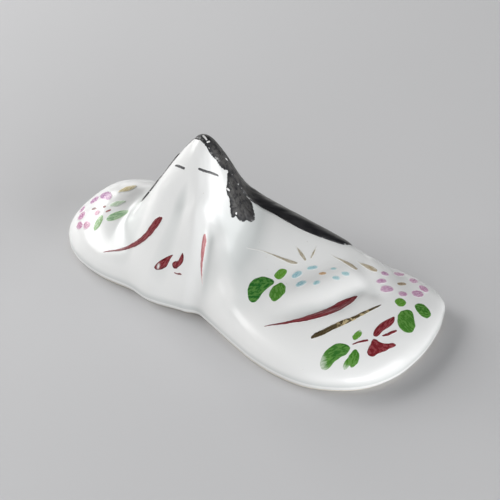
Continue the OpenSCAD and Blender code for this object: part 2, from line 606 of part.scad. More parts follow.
module right_sleeve_red_stroke() {
    color("#8c2028")
    strokes([right_red_shares]);
}

// Brown and gold branch beside the red sleeve line.
module right_sleeve_branch_stroke() {
    color("#5a4a28")
    strokes([branch_shares]);
}

module chest_leaves() {
    color("#3c7830")
    leaves(chest_leaf_shares);
}

module blue_flower_petals() {
    color("#9cc8d2")
    petals(blue_petal_shares);
}

module blue_flower_middle() {
    color("#c8965a")
    petals(blue_middle_shares);
}

// Thin gold blades around the flowers.
module gold_grass_strokes() {
    color("#b89a60")
    strokes(grass_shares);
}

module pink_flower_petals() {
    color("#c8a0c0")
    petals(pink_petal_shares);
}

module pink_flower_middle() {
    color("#96784e")
    petals(pink_middle_shares);
}

module right_sleeve_upper_leaves() {
    color("#3c7830")
    leaves(upper_leaf_shares);
}

// Red blossom: two petals, and the stem on either side of them.
module red_blossom_strokes() {
    color("#8c2028") {
        leaves(blossom_petal_shares);
        strokes(blossom_stem_shares);
    }
}

module right_sleeve_lower_leaves() {
    color("#3c7830")
    leaves(lower_leaf_shares);
}

module left_sleeve_pink_petals() {
    color("#c8a0c0")
    petals(left_petal_shares);
}

module left_sleeve_leaves() {
    color("#5a9650")
    petals(left_leaf_shares);
}

module left_sleeve_gold_stroke() {
    color("#d2be8c")
    strokes(left_gold_shares);
}

module left_sleeve_pale_stroke() {
    color("#b4c8aa")
    strokes(left_pale_shares);
}

// Dark dots at the middle of the left flower.
module left_sleeve_stamens() {
    color("#6e3c3c")
    petals(left_stamen_shares);
}

porcelain_body();
white_glaze();
hair_back();
hair_lock_right();
hair_lock_left();
left_eye_stroke();
right_eye_stroke();
left_sleeve_red_stroke();
chest_red_strokes();
centre_fold_red_stroke();
right_sleeve_red_stroke();
right_sleeve_branch_stroke();
chest_leaves();
blue_flower_petals();
blue_flower_middle();
gold_grass_strokes();
pink_flower_petals();
pink_flower_middle();
right_sleeve_upper_leaves();
red_blossom_strokes();
right_sleeve_lower_leaves();
left_sleeve_pink_petals();
left_sleeve_leaves();
left_sleeve_gold_stroke();
left_sleeve_pale_stroke();
left_sleeve_stamens();
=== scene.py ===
import math

import bmesh
import bpy
import numpy as np
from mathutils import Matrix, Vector


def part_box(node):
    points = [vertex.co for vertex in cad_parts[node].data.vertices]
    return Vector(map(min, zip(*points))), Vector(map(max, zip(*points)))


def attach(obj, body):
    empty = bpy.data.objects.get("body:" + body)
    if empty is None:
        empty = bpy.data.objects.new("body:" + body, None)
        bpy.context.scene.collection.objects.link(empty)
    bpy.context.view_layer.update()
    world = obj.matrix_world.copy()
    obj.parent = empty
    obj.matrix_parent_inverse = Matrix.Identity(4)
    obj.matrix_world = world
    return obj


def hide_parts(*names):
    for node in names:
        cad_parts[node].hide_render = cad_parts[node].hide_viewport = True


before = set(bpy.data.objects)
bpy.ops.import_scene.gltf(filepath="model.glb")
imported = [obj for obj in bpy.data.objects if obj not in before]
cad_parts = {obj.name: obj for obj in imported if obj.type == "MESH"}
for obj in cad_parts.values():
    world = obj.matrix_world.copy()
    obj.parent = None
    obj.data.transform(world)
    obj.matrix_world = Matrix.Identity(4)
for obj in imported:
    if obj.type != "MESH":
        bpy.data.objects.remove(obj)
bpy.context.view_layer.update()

# Millimetres in metres, and a full turn.
MM = 0.001
TURN = 2 * math.pi

# Sizes of the casting and its coats, in millimetres, as in the part's source.
HEAD_H = 28.8
SLEEVE_H = 6.0
LEFT_PAD_RISE = 5.3
RIGHT_PAD_RISE = 3.0
BODY_RISE = 9.0
FOLD_RISE = 1.8
ARM_BLEND = 3.0
HEAD_FALL = 1.85
HEAD_BLEND = 6.5
RIM_H = 1.6
RIM_IN = 1.0
BARE_H = 1.0
WALL_T = 3.0
HEAD_WALL_SHARE = 0.14
FLOOR_T = 2.2
HOLLOW_LOW = 0.6
VENT_D = 4.0
SEAT_GAP = 0.08
GLAZE_OFF = 0.28

# The paint counts from a level just inside the glaze. Its underside lies below that level, so
# that no slit shows under it.
PAINT_LEVEL = GLAZE_OFF - 0.03
PAINT_UNDER = -0.02
PAINT_T = 0.1
HAIR_UNDER = -0.03
HAIR_T = 0.34

# Outline of the widest line in plan parts, anticlockwise from the right, round its hub.
HUB = np.array([-8.0, 1.5])
OUTLINE = np.array([
    (34.3, 7.5), (33, 12.7), (31, 16.1), (26.5, 17.2), (21, 16.8),
    (14.5, 15.6), (7, 15.2), (-1, 15.6), (-9, 16), (-17, 16.2),
    (-24, 16.5), (-30.4, 15.8), (-34.8, 11.8), (-36, 5), (-35.2, -1.4),
    (-30.8, -6), (-25.3, -8.2), (-18.5, -8.7), (-12.8, -9.8), (-6, -9.1),
    (-1.3, -8.9), (2.9, -10.6), (7.3, -12.3), (11.5, -13.8), (16.4, -14.8),
    (21.8, -14.9), (27, -13.1), (30.9, -10.2), (33.6, -5.6), (34.7, 0.8),
])
VENT = np.array([4.0, 0.0])
RIM_POWER = 4.2
# Step in plan parts over which the surface's slope is taken.
SKIN_STEP = 0.04

# Pads and body: middle and reach along X and Y, in plan parts.
RIGHT_PAD = ((24, 1), (13, 14))
LEFT_PAD = ((-28.4, 4), (9.5, 10))
BODY = ((-7, 2), (14, 10))

# Arms: shoulder and cuff in plan parts, their rises in millimetres, reach in front and behind.
RIGHT_ARM = ((-2.3, 7), (19, 9), 11.2, 5.2, 12, 4)
LEFT_ARM = ((-14, 6.5), (-23, 6.5), 9, 3.6, 6, 8)
ARM_TURNOVER = 4

# Head in plan parts: middle, rounding of its top, depth to its width, lean of its sides.
HEAD = (-8.9, 2.4)
HEAD_ROUND = 2
HEAD_DEPTH_SHARE = 0.9
HEAD_LEAN_SHARE = 0.09
HEAD_LEAN_SOFT = 3
HEAD_LEAN_WAY = (0.84, 0.54)

# Folds of the robe, rows of x, y, share of the fold rise, reach.
RAISED_FOLDS = [
    [(-15, -2.5, 0.5, 2), (-15.5, -7.5, 0.4, 2)],
    [(-6.2, -3.8, 0.7, 1.5), (-4.6, -7.6, 0.45, 1.6)],
    [(-1, -3.8, 0.5, 1.7), (2.6, -8.6, 0.45, 2)],
    [(9, -7.5, 0, 2.2), (16.3, -1.2, 0.67, 2.5), (19.2, 4.4, 0.45, 2.2)],
]
SUNK_FOLDS = [
    [(-10, -3.4, 0.85, 2), (-10.2, -8, 0.45, 2.2)],
    [(-11.8, -3.1, 0.25, 1.7), (-9.2, -3.3, 0.45, 1.8), (-7, -2.7, 0.25, 1.6)],
    [(-3.3, -4.6, 0.45, 0.9), (-1.9, -8.7, 0.3, 0.9)],
    [(13.6, -8.6, 0.1, 1.6), (20.4, -1.2, 0.6, 1.6), (21.8, 3.2, 0.45, 1.5)],
    [(18, 9.4, 0.25, 1.6), (24.2, 4.6, 0.4, 1.6)],
]

# Spokes of the part's source, whose ends give the scale of a plan part, and of the meshes here,
# with the share of their spacing that is even in turn. The rest is even along the outline.
SOURCE_SPOKES = 64
SPOKES = 320
EVEN_SHARE = 0.4

# Rings of the casting's and the glaze's top, and how much closer together they lie at the rim.
CASTING_RINGS = 60
GLAZE_RINGS = 118
RIM_CROWDING = 1.6

# Pooling of the glaze and painted shade in its hollows: how widely a hollow is felt, how fast it fills
# and where it starts.
POOL_SHADE_BLUR = 70
POOL_SHADE_GAIN = 2
POOL_SHADE_START = 0.15


def outline_curve():
    """Turns and reaches of the outline's points round the hub."""
    arm = OUTLINE - HUB
    turn = np.arctan2(arm[:, 1], arm[:, 0])
    return np.where(turn < turn[0], turn + TURN, turn), np.hypot(arm[:, 0], arm[:, 1])


OUTLINE_TURN, OUTLINE_REACH = outline_curve()


def reach(turn):
    """Reach of the outline from the hub for any turn, in plan parts, as a smooth curve."""
    turn = np.mod(turn - OUTLINE_TURN[0], TURN) + OUTLINE_TURN[0]
    ts = np.concatenate([[OUTLINE_TURN[-1] - TURN], OUTLINE_TURN, OUTLINE_TURN[:2] + TURN])
    rs = np.concatenate([[OUTLINE_REACH[-1]], OUTLINE_REACH, OUTLINE_REACH[:2]])
    k = np.clip(np.searchsorted(ts, turn, side="right") - 1, 1, len(OUTLINE_TURN))
    t0, t1, t2, t3 = (ts[k + n] for n in (-1, 0, 1, 2))
    r0, r1, r2, r3 = (rs[k + n] for n in (-1, 0, 1, 2))
    h = t2 - t1
    u = (turn - t1) / h
    m1 = ((r1 - r0) / (t1 - t0) * h + (r2 - r1) / h * (t1 - t0)) / (t2 - t0) * h
    m2 = ((r2 - r1) / h * (t3 - t2) + (r3 - r2) / (t3 - t2) * h) / (t3 - t1) * h
    return (
        (2 * u**3 - 3 * u**2 + 1) * r1
        + (u**3 - 2 * u**2 + u) * m1
        + (3 * u**2 - 2 * u**3) * r2
        + (u**3 - u**2) * m2
    )


def soft_max(a, b, k):
    """The larger of two heights, run together softly where they differ by less than k."""
    m = np.maximum(k - np.abs(a - b), 0) / k
    return np.maximum(a, b) + m**3 * k / 6


def swell(x, y, middle, spread):
    return np.exp(-(((x - middle[0]) / spread[0]) ** 2) - ((y - middle[1]) / spread[1]) ** 2)


def along_leg(x, y, a, b):
    """Share of the way along a leg and the distance from it."""
    dx, dy = b[0] - a[0], b[1] - a[1]
    t = np.clip(((x - a[0]) * dx + (y - a[1]) * dy) / (dx * dx + dy * dy), 0, 1)
    return t, np.hypot(x - a[0] - t * dx, y - a[1] - t * dy)


def arm_rise(x, y, shoulder, cuff, high, low, front, back):
    t, away = along_leg(x, y, shoulder, cuff)
    length = math.hypot(cuff[0] - shoulder[0], cuff[1] - shoulder[1])
    ux, uy = (cuff[0] - shoulder[0]) / length, (cuff[1] - shoulder[1]) / length
    side = ux * (y - shoulder[1]) - uy * (x - shoulder[0])
    turned = side / np.sqrt(side**2 + ARM_TURNOVER**2)
    spread = (front + back) / 2 + (back - front) / 2 * turned
    return (high + (low - high) * t) * np.exp(-((away / spread) ** 2))


def fold_rise(x, y, rows):
    """Height or depth of one fold at a plan point."""
    legs = []
    for a, b in zip(rows, rows[1:]):
        t, away = along_leg(x, y, a, b)
        spread = a[3] + (b[3] - a[3]) * t
        legs.append((a[2] + (b[2] - a[2]) * t) * np.exp(-((away / spread) ** 2)))
    return FOLD_RISE * np.max(legs, axis=0)


def height(x, y):
    """Height of the robe and head over a plan point, before it rolls down to the rim."""
    robe = SLEEVE_H + RIGHT_PAD_RISE * swell(x, y, *RIGHT_PAD)
    robe = robe + LEFT_PAD_RISE * swell(x, y, *LEFT_PAD)
    robe = soft_max(robe, SLEEVE_H + BODY_RISE * swell(x, y, *BODY), ARM_BLEND)
    for arm in (RIGHT_ARM, LEFT_ARM):
        robe = soft_max(robe, SLEEVE_H + arm_rise(x, y, *arm), ARM_BLEND)
    dx, dy = x - HEAD[0], y - HEAD[1]
    side = dx * HEAD_LEAN_WAY[0] + dy * HEAD_LEAN_WAY[1]
    lean = 1 - HEAD_LEAN_SHARE * side / np.sqrt(side**2 + HEAD_LEAN_SOFT**2)
    away = np.sqrt((dx / lean) ** 2 + (dy / HEAD_DEPTH_SHARE) ** 2 + HEAD_ROUND**2) - HEAD_ROUND
    top = soft_max(robe, HEAD_H - HEAD_FALL * away, HEAD_BLEND)
    for rows in RAISED_FOLDS:
        top = top + fold_rise(x, y, rows)
    for rows in SUNK_FOLDS:
        top = top - fold_rise(x, y, rows)
    return top


def roll(share):
    """Share of the height that is left at a share of the way from the hub to the rim."""
    return np.sqrt(np.clip(1 - share**RIM_POWER, 0, 1))


def plan_scale():
    """Millimetres to a plan part, and the plan point over the origin."""
    turn = np.arange(SOURCE_SPOKES) * TURN / SOURCE_SPOKES
    x = HUB[0] + reach(turn) * np.cos(turn)
    y = HUB[1] + reach(turn) * np.sin(turn)
    low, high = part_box("porcelain_body")
    return (
        np.array([(high.x - low.x) / MM / np.ptp(x), (high.y - low.y) / MM / np.ptp(y)]),
        np.array([(x.max() + x.min()) / 2, (y.max() + y.min()) / 2]),
    )


PART, MIDDLE = plan_scale()


def plan(x, y):
    """Plan parts to millimetres from the origin."""
    return (x - MIDDLE[0]) * PART[0], (y - MIDDLE[1]) * PART[1]


def on_casting(x, y):
    """Point of the casting's top over a plan point, in millimetres."""
    arm_x, arm_y = x - HUB[0], y - HUB[1]
    share = np.clip(np.hypot(arm_x, arm_y) / reach(np.arctan2(arm_y, arm_x)), 0, 1)
    return np.stack([*plan(x, y), RIM_H + (height(x, y) - RIM_H) * roll(share)], -1)


def unit(v):
    return v / np.linalg.norm(v, axis=-1, keepdims=True)


def skin(x, y, off):
    """Point raised by off from the casting's top over a plan point."""
    x, y = np.asarray(x, float), np.asarray(y, float)
    step = SKIN_STEP
    run_x = on_casting(x + step, y) - on_casting(x - step, y)
    run_y = on_casting(x, y + step) - on_casting(x, y - step)
    return on_casting(x, y) + unit(np.cross(run_x, run_y)) * np.asarray(off)[..., None]


def spoke_turns(count):
    """Turns of the spokes, closer together where the outline is far from the hub."""
    fine = np.linspace(0, TURN, 4001)
    x, y = reach(fine) * np.cos(fine), reach(fine) * np.sin(fine)
    run = np.concatenate([[0], np.cumsum(np.hypot(np.diff(x), np.diff(y)))])
    spread = EVEN_SHARE * fine / fine[-1] + (1 - EVEN_SHARE) * run / run[-1]
    return np.interp(np.arange(count) / count, spread, fine)


def straight_drums(name, grids):
    """A mesh of closed, upright drums, one for each grid of rows, and where each one starts."""
    mesh_data = bmesh.new()
    starts = []
    for rows in grids:
        starts.append(len(mesh_data.verts))
        drum = bmesh.ops.create_cone(
            mesh_data, cap_ends=True, cap_tris=True, segments=rows.shape[1],
            radius1=1, radius2=1, depth=2,
        )
        # A stave runs from end to end, and is cut once for each ring between them.
        staves = {
            e for v in drum["verts"] for e in v.link_edges
            if abs(e.verts[0].co.z - e.verts[1].co.z) > 1
        }
        bmesh.ops.subdivide_edges(
            mesh_data, edges=sorted(staves, key=lambda e: e.index), cuts=len(rows) - 2,
            use_grid_fill=True,
        )
    starts.append(len(mesh_data.verts))
    mesh = bpy.data.meshes.new(name)
    mesh_data.to_mesh(mesh)
    mesh_data.free()
    return mesh, starts


def pulled_drums(name, skins):
    """A mesh of closed drums, each with a ring for every row of its skin, pulled over its points.

    A skin is its first point, its rows, its last point, and values to keep at its points.
    """
    mesh, starts = straight_drums(name, [rows for _first, rows, _last, _kept in skins])
    at = np.empty(starts[-1] * 3)
    mesh.vertices.foreach_get("co", at)
    at = at.reshape(-1, 3)
    kept_at = {key: np.zeros(starts[-1]) for key in skins[0][3]}
    for start, end, (first, rows, last, kept) in zip(starts, starts[1:], skins):
        count, around = rows.shape[:2]
        drum = at[start:end]
        ring = 1 + np.rint((1 - drum[:, 2]) / 2 * (count - 1)).astype(int)
        middle = np.hypot(drum[:, 0], drum[:, 1]) < 0.5
        ring = np.where(middle, np.where(drum[:, 2] > 0, 0, count + 1), ring)
        turn = np.arctan2(drum[:, 1], drum[:, 0]) / TURN * around
        # The drum's corners start a quarter turn or a half step away from the X axis.
        spoke = np.rint(turn - turn[~middle][0]).astype(int) % around
        wide = np.ones((1, around, 1))
        points = np.concatenate([np.array(first) * wide, rows, np.array(last) * wide])
        at[start:end] = points[ring, spoke] * MM
        for key, values in kept.items():
            ends = np.ones((1, around))
            values = np.concatenate([values[:1].mean() * ends, values, values[-1:].mean() * ends])
            kept_at[key][start:end] = values[ring, spoke]
    mesh.vertices.foreach_set("co", at.ravel())
    for key, values in kept_at.items():
        mesh.attributes.new(key, "FLOAT", "POINT").data.foreach_set("value", values)
    return mesh


def new_piece(name, mesh, material):
    """An object for a finished mesh. It rides on the one body and stands for its CAD node."""
    mesh_data = bmesh.new()
    mesh_data.from_mesh(mesh)
    bmesh.ops.recalc_face_normals(mesh_data, faces=mesh_data.faces)
    mesh_data.to_mesh(mesh)
    mesh_data.free()
    mesh.shade_smooth()
    piece = bpy.data.objects.new(name, mesh)
    bpy.context.scene.collection.objects.link(piece)
    mesh.materials.append(material)
    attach(piece, "root")
    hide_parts(name.removesuffix("_finish"))


TURNS = spoke_turns(SPOKES)
SPOKE_ARM = reach(TURNS)[:, None] * np.stack([np.cos(TURNS), np.sin(TURNS)], 1)


def top_rows(count):
    """Rings of the casting's top, from beside the hub to the rim."""
    share = 1 - (1 - np.arange(1, count + 1) / count) ** RIM_CROWDING
    q = HUB + SPOKE_ARM[None] * share[:, None, None]
    return on_casting(q[..., 0], q[..., 1])


def under_rows(turns):
    """Rings of the quarter turn under the rim, from 0 at the rim to a right angle at the foot."""
    rim = np.stack(plan(HUB[0] + SPOKE_ARM[:, 0], HUB[1] + SPOKE_ARM[:, 1]), 1)
    away = unit(rim - np.array(plan(*HUB)))
    rows = []
    for turn in turns:
        z = np.full(SPOKES, RIM_H * (1 - math.sin(turn)))
        rows.append(np.column_stack([rim - away * RIM_IN * (1 - math.cos(turn)), z]))
    return np.array(rows)


def outward(rows, crown):
    """Outward directions of a grid's rows, from their neighbours."""
    padded = np.concatenate([np.broadcast_to(crown, rows[:1].shape), rows])
    last = rows[-1] - rows[-2]
    down = np.concatenate([padded[2:] - padded[:-2], last[None]])
    return unit(np.cross(down, np.roll(rows, -1, 1) - np.roll(rows, 1, 1)))


def hollow_shade_and_pool(rows):
    """How far each point lies in a hollow of the surface, where glaze runs together and where shade is
    painted.
    """
    z = grid = rows[..., 2]
    for _ in range(POOL_SHADE_BLUR):
        above = np.concatenate([grid[:1], grid[:-1]])
        below = np.concatenate([grid[1:], grid[-1:]])
        grid = (grid + above + below + np.roll(grid, 1, 1) + np.roll(grid, -1, 1)) / 5
    return np.clip((grid - z) * POOL_SHADE_GAIN - POOL_SHADE_START, 0, 1)


def white_glaze(material):
    """The glaze coat: outer skin, a soft lower edge above the bare foot, and inner skin."""
    bare_turn = math.asin(1 - BARE_H / RIM_H)
    lip_turn = bare_turn + 0.06
    crown = on_casting(*HUB)
    top = top_rows(GLAZE_RINGS)
    rows = np.concatenate([top, under_rows(np.linspace(0, bare_turn, 6)[1:])])
    out = outward(rows, crown)
    crown_out = unit(out[0].mean(0))
    lip = under_rows([lip_turn])[0] + out[-1] * (GLAZE_OFF + SEAT_GAP) / 2
    inner = (rows + out * SEAT_GAP)[::-1][1::2]
    grid = np.concatenate([rows + out * GLAZE_OFF, lip[None], inner])
    pool_and_shade = np.zeros(grid.shape[:2])
    # The top's hollows get painted shade as well as pooled glaze.
    pool_and_shade[: len(top)] = hollow_shade_and_pool(top)
    coat = (crown + crown_out * GLAZE_OFF, grid, crown + crown_out * SEAT_GAP, {"pool_and_shade": pool_and_shade})
    name = "white_glaze_finish"
    new_piece(name, pulled_drums(name, [coat]), material)


def roof_height(h):
    """Height of the hollow's roof where the top is h high. The wall is thicker in the head."""
    return h - WALL_T - HEAD_WALL_SHARE * np.maximum(h - SLEEVE_H, 0)


def porcelain_body(material):
    """The casting: outer face, flat foot, vent hole and hollow."""
    crown = on_casting(*HUB)
    vx, vy = plan(*VENT)
    ring = np.stack([vx + VENT_D / 2 * np.cos(TURNS), vy + VENT_D / 2 * np.sin(TURNS)], 1)

    def floor_rows(edge, z, shares):
        """Flat rings from an edge in to the vent."""
        flat = [edge[:, :2] * (1 - share) + ring * share for share in shares]
        return np.array([np.column_stack([row, np.full(SPOKES, z)]) for row in flat])

    under = under_rows(np.linspace(0, math.pi / 2, 9)[1:])
    foot = floor_rows(under[-1], 0, (0.02, 0.1, 0.25, 0.45, 0.65, 0.85, 0.97, 1))
    outer = np.concatenate([top_rows(CASTING_RINGS), under, foot])
    arm_mm = np.linalg.norm(SPOKE_ARM * PART, axis=1, keepdims=True)
    arm = SPOKE_ARM * (1 - (WALL_T + RIM_IN) / arm_mm)
    roof = []
    for share in (0.1, 0.2, 0.32, 0.44, 0.56, 0.68, 0.8, 0.9, 0.97, 1):
        x, y = (HUB + arm * share).T
        rise = np.maximum(roof_height(height(x, y)) - FLOOR_T, HOLLOW_LOW)
        roof.append(np.stack([*plan(x, y), FLOOR_T + rise * roll(share)], 1))
    inner = np.concatenate([roof, floor_rows(roof[-1], FLOOR_T, (0.3, 0.6, 0.9, 1))])
    peak = [*plan(*HUB), float(roof_height(height(*HUB)))]
    name = "porcelain_body_finish"
    faces = [(crown, outer, [vx, vy, 0], {}), (peak, inner, [vx, vy, FLOOR_T], {})]
    mesh = pulled_drums(name, faces)
    # The two faces are opened at the vent and joined by its bore.
    mesh_data = bmesh.new()
    mesh_data.from_mesh(mesh)
    vent = Vector((vx, vy)) * MM
    middles = [v for v in mesh_data.verts if (v.co.xy - vent).length < 1e-6]
    bmesh.ops.delete(mesh_data, geom=middles, context="VERTS")
    bmesh.ops.bridge_loops(mesh_data, edges=[e for e in mesh_data.edges if e.is_boundary])
    mesh_data.to_mesh(mesh)
    mesh_data.free()
    new_piece(name, mesh, material)


# Brush marks, rows of x, y and half width in plan parts.
BRUSH_MARKS = {
    "left_eye_stroke": [
        [(-12.7, -0.22, 0.1), (-11.46, -0.64, 0.12), (-10.32, -0.85, 0.1)],
    ],
    "right_eye_stroke": [
        [
            (-7.84, -0.66, 0.1), (-7.02, -0.46, 0.12), (-6.31, -0.14, 0.12), (-5.61, 0.34, 0.12),
            (-5.02, 0.88, 0.1),
        ],
    ],
    "left_sleeve_red_stroke": [
        [
            (-23.68, -7.37, 0.1), (-20.35, -6.76, 0.21), (-18.35, -6.43, 0.26),
            (-16.86, -6.32, 0.31), (-15.46, -6.12, 0.37), (-14.57, -5.74, 0.48),
            (-13.88, -5.32, 0.52), (-13.19, -4.97, 0.42), (-12.58, -4.7, 0.2),
        ],
    ],
    "chest_red_strokes": [
        [(-8.1, -8.05, 0.05), (-7.5, -8.03, 0.06), (-7, -7.96, 0.08), (-6.59, -7.94, 0.05)],
    ],
    "centre_fold_red_stroke": [
        [
            (-4.15, -4.39, 0.14), (-4.09, -4.78, 0.36), (-3.94, -5.41, 0.33), (-3.73, -6.04, 0.26),
            (-3.43, -6.61, 0.22), (-3.01, -7.1, 0.16), (-2.51, -7.56, 0.08),
        ],
    ],
    "right_sleeve_red_stroke": [
        [
            (12.11, -11.22, 0.1), (14.54, -9.56, 0.27), (15.87, -8.4, 0.38), (17.1, -7.26, 0.56),
            (18.25, -5.95, 0.74), (19.33, -4.52, 0.9), (20.28, -2.8, 1.04), (20.97, -0.9, 1.04),
            (21.64, 0.59, 0.85), (22.02, 1.61, 0.5), (22.26, 2.17, 0.24),
        ],
    ],
    "right_sleeve_branch_stroke": [
        [
            (20.46, -9.81, 0.26), (20.88, -8.94, 0.46), (21.5, -8.02, 0.52), (22.22, -6.72, 0.48),
            (22.94, -5.36, 0.5), (23.56, -4.2, 0.48), (24.27, -2.92, 0.36), (24.87, -1.33, 0.3),
            (25.46, 0.28, 0.27), (25.94, 1.7, 0.22), (26.33, 3.01, 0.12),
        ],
    ],
    "gold_grass_strokes": [
        [
            (1.94, -1.16, 0.06), (4.34, -0.17, 0.1), (6.45, 0.27, 0.16), (8.38, 0.58, 0.24),
            (10.01, 0.91, 0.32), (10.92, 1.23, 0.16),
        ],
        [(9.14, 3.46, 0.1), (10.49, 2.88, 0.32), (11.83, 2.32, 0.24)],
        [(12.01, 5.48, 0.07), (12.23, 4.04, 0.22), (12.34, 3.11, 0.16)],
        [(14.5, 5.63, 0.08), (16.69, 5.93, 0.26), (18.4, 5.98, 0.5), (19.65, 6.03, 0.4)],
        [(18.32, 7.99, 0.16), (19.95, 8.37, 0.42), (21.32, 8.53, 0.52), (22.11, 8.75, 0.3)],
    ],
    "red_blossom_strokes": [
        [(26.77, -7.1, 0.12), (27.58, -5.77, 0.2), (28.38, -4.68, 0.2)],
        [(29.68, -2.29, 0.16), (30.08, -1.49, 0.24), (30.47, -0.28, 0.26), (30.77, 0.62, 0.16)],
    ],
    "left_sleeve_gold_stroke": [
        [(-27.51, 2.73, 0.2), (-26.67, 4.38, 0.8), (-25.98, 6.25, 0.3)],
    ],
    "left_sleeve_pale_stroke": [
        [(-27.21, -0.36, 0.2), (-26.18, 0.39, 0.6), (-25.05, 1.62, 0.2)],
    ],
}

# Petals and dabs, rows of x, y, long reach, short reach, turn in degrees.
DABS = {
    "blue_flower_petals": [
        (11.85, -0.43, 1.12, 0.64, 55), (13.5, -1.75, 1.08, 0.68, 53), (13.47, 1.9, 1.1, 0.46, 41),
        (15.84, -0.6, 0.76, 0.54, 55), (17.99, 2.05, 0.76, 0.48, 36), (18.82, 3.8, 0.86, 0.5, 41),
        (16.68, 3.49, 0.64, 0.42, 37),
    ],
    "blue_flower_middle": [(15.64, 1.65, 0.74, 0.4, 31)],
    "pink_flower_petals": [
        (23.11, 9.57, 0.95, 0.6, 67), (23.69, 7.55, 1.05, 0.58, 56), (25.19, 6.86, 1.3, 0.8, 58),
        (27.37, 8.44, 1.1, 0.66, 72), (28.69, 11.32, 1.4, 0.92, 75), (28.61, 13.61, 1, 0.92, 0),
        (26.4, 13.95, 1.05, 0.82, 85), (23.93, 13.19, 1.4, 0.7, 72),
    ],
    "pink_flower_middle": [(25.8, 10.8, 1.2, 0.46, 75)],
    "left_sleeve_pink_petals": [
        (-29.34, 1.75, 1.8, 1, 151), (-31.39, 1.11, 1.15, 0.95, 130),
        (-33.15, -0.15, 1, 0.65, 117), (-32.1, -1.85, 1.05, 0.8, 141), (-31.31, -3.55, 1.1, 0.6, 148),
        (-29.57, -3.81, 1.05, 0.68, 154), (-28.7, -1.85, 0.7, 0.6, 148),
    ],
    "left_sleeve_leaves": [(-27.35, -3.4, 1.4, 0.7, 97), (-24.64, -1.37, 2.1, 0.85, 41)],
    "left_sleeve_stamens": [
        (-29.84, -1.09, 0.6, 0.3, 0), (-27.97, -0.68, 0.38, 0.28, 16),
        (-26.75, -1.22, 0.55, 0.24, 39),
    ],
}

# Leaves and blossoms, each the point that its rings close on and its outline.
OUTLINES = {
    "chest_leaves": [
        ((6.87, -5.46), [
            (9.16, -3.59), (8.75, -3.13), (7.91, -3.08), (6.88, -3.36), (5.97, -4.17), (5.56, -5.15),
            (5.63, -6.2), (6.13, -7.13), (6.96, -7.94), (7.73, -8.2), (8.24, -7.92), (8.42, -7.1),
            (8.48, -6.22), (8.57, -5.33), (8.86, -4.45),
        ]),
        ((10.48, -4.68), [
            (9.61, -3.55), (9.32, -4.31), (9.4, -5.26), (9.83, -5.98), (10.58, -6.49), (11.3, -6.37),
            (11.7, -5.58), (11.95, -4.69), (11.79, -3.8), (11.28, -3.17), (10.34, -2.89),
        ]),
        ((9.33, -1.81), [
            (9.45, -2.68), (9.88, -2.32), (10.14, -1.51), (10.09, -0.77), (9.64, -0.55),
            (8.92, -0.84), (8.54, -1.52), (8.44, -2.32), (8.89, -2.67),
        ]),
    ],
    "right_sleeve_upper_leaves": [
        ((28.08, 6.41), [
            (27.8, 5.27), (28.39, 5.22), (28.82, 5.65), (29.01, 6.34), (28.81, 7.18), (28.19, 7.43),
            (27.58, 7.12), (27.33, 6.4), (27.39, 5.65),
        ]),
        ((31.24, 8.58), [
            (30.78, 7.34), (31.69, 7.19), (32.33, 7.56), (32.63, 8.15), (32.54, 9.27), (31.92, 9.86),
            (31.16, 10.05), (30.44, 9.95), (29.96, 9.13), (29.96, 8.02),
        ]),
        ((30.76, 3.84), [
            (29.18, 4.25), (29.44, 3.23), (29.98, 2.14), (30.64, 1.47), (31.39, 1.45), (32.04, 1.72),
            (32.43, 2.29), (32.53, 3.32), (32.23, 4.44), (31.5, 5.26), (30.92, 6.07), (30.27, 6.45),
            (29.61, 6.03), (29.23, 5.11),
        ]),
    ],
    "right_sleeve_lower_leaves": [
        ((25.04, -10.08), [
            (26.95, -8.27), (26.76, -7.69), (26, -7.61), (25.08, -8.01), (24.37, -8.73),
            (23.85, -9.77), (23.64, -10.85), (23.69, -11.89), (24.01, -12.73), (24.65, -13.07),
            (25.3, -12.77), (25.68, -12.13), (25.85, -11.31), (26.13, -10.52), (26.48, -9.77),
            (26.84, -9.18),
        ]),
        ((28.13, -8.68), [
            (27.37, -7.87), (27.29, -8.54), (27.28, -9.37), (27.2, -10.16), (27.31, -10.94),
            (27.61, -11.23), (27.96, -10.98), (28.16, -10.29), (28.46, -10.38), (28.81, -10.04),
            (29.02, -9.13), (28.83, -8.15), (28.33, -7.54), (27.71, -7.42),
        ]),
        ((26.51, -5.22), [
            (26.74, -6.13), (27, -5.5), (27.1, -4.8), (26.92, -4.12), (26.43, -3.93), (26.13, -4.34),
            (25.99, -5.15), (26, -5.91), (26.39, -6.29),
        ]),
    ],
    "red_blossom_strokes": [
        ((28.61, -1.15), [
            (29.1, 2.72), (28.77, 1.82), (28.45, 0.71), (28.19, -0.57), (28.12, -1.85),
            (28.26, -2.83), (28.59, -3.36), (29.04, -3.15), (29.22, -2.56), (29.24, -1.98),
            (29.33, -1.21), (29.53, -0.26), (29.68, 0.75), (29.6, 1.85),
        ]),
        ((29.95, -4.93), [
            (28.83, -4.47), (29.02, -5.1), (29.12, -5.91), (29.28, -6.67), (29.83, -6.89),
            (30.43, -6.48), (30.73, -5.66), (31.1, -4.84), (31.51, -4.07), (31.63, -3.34),
            (31.93, -2.6), (32.04, -1.86), (31.54, -1.93), (31, -2.74), (30.42, -3.35),
            (29.83, -3.56), (29.34, -3.53), (28.88, -3.84),
        ]),
    ],
    "chest_red_strokes": [
        ((-10.47, -7.76), [
            (-8.87, -6.97), (-9.89, -7.18), (-10.89, -7.54), (-11.67, -7.91), (-12.15, -8.3),
            (-11.74, -8.43), (-11.14, -8.37), (-10.44, -8.2), (-9.75, -7.93), (-9.46, -7.62),
            (-9.17, -7.25),
        ]),
        ((-7.88, -7.51), [
            (-7.17, -6.7), (-7.39, -6.94), (-7.68, -7.22), (-8.32, -7.36), (-8.74, -7.55),
            (-8.63, -7.75), (-8.22, -7.84), (-7.73, -7.78), (-7.47, -7.64), (-7.04, -7.43),
            (-6.71, -7.18), (-6.74, -6.89),
        ]),
    ],
}

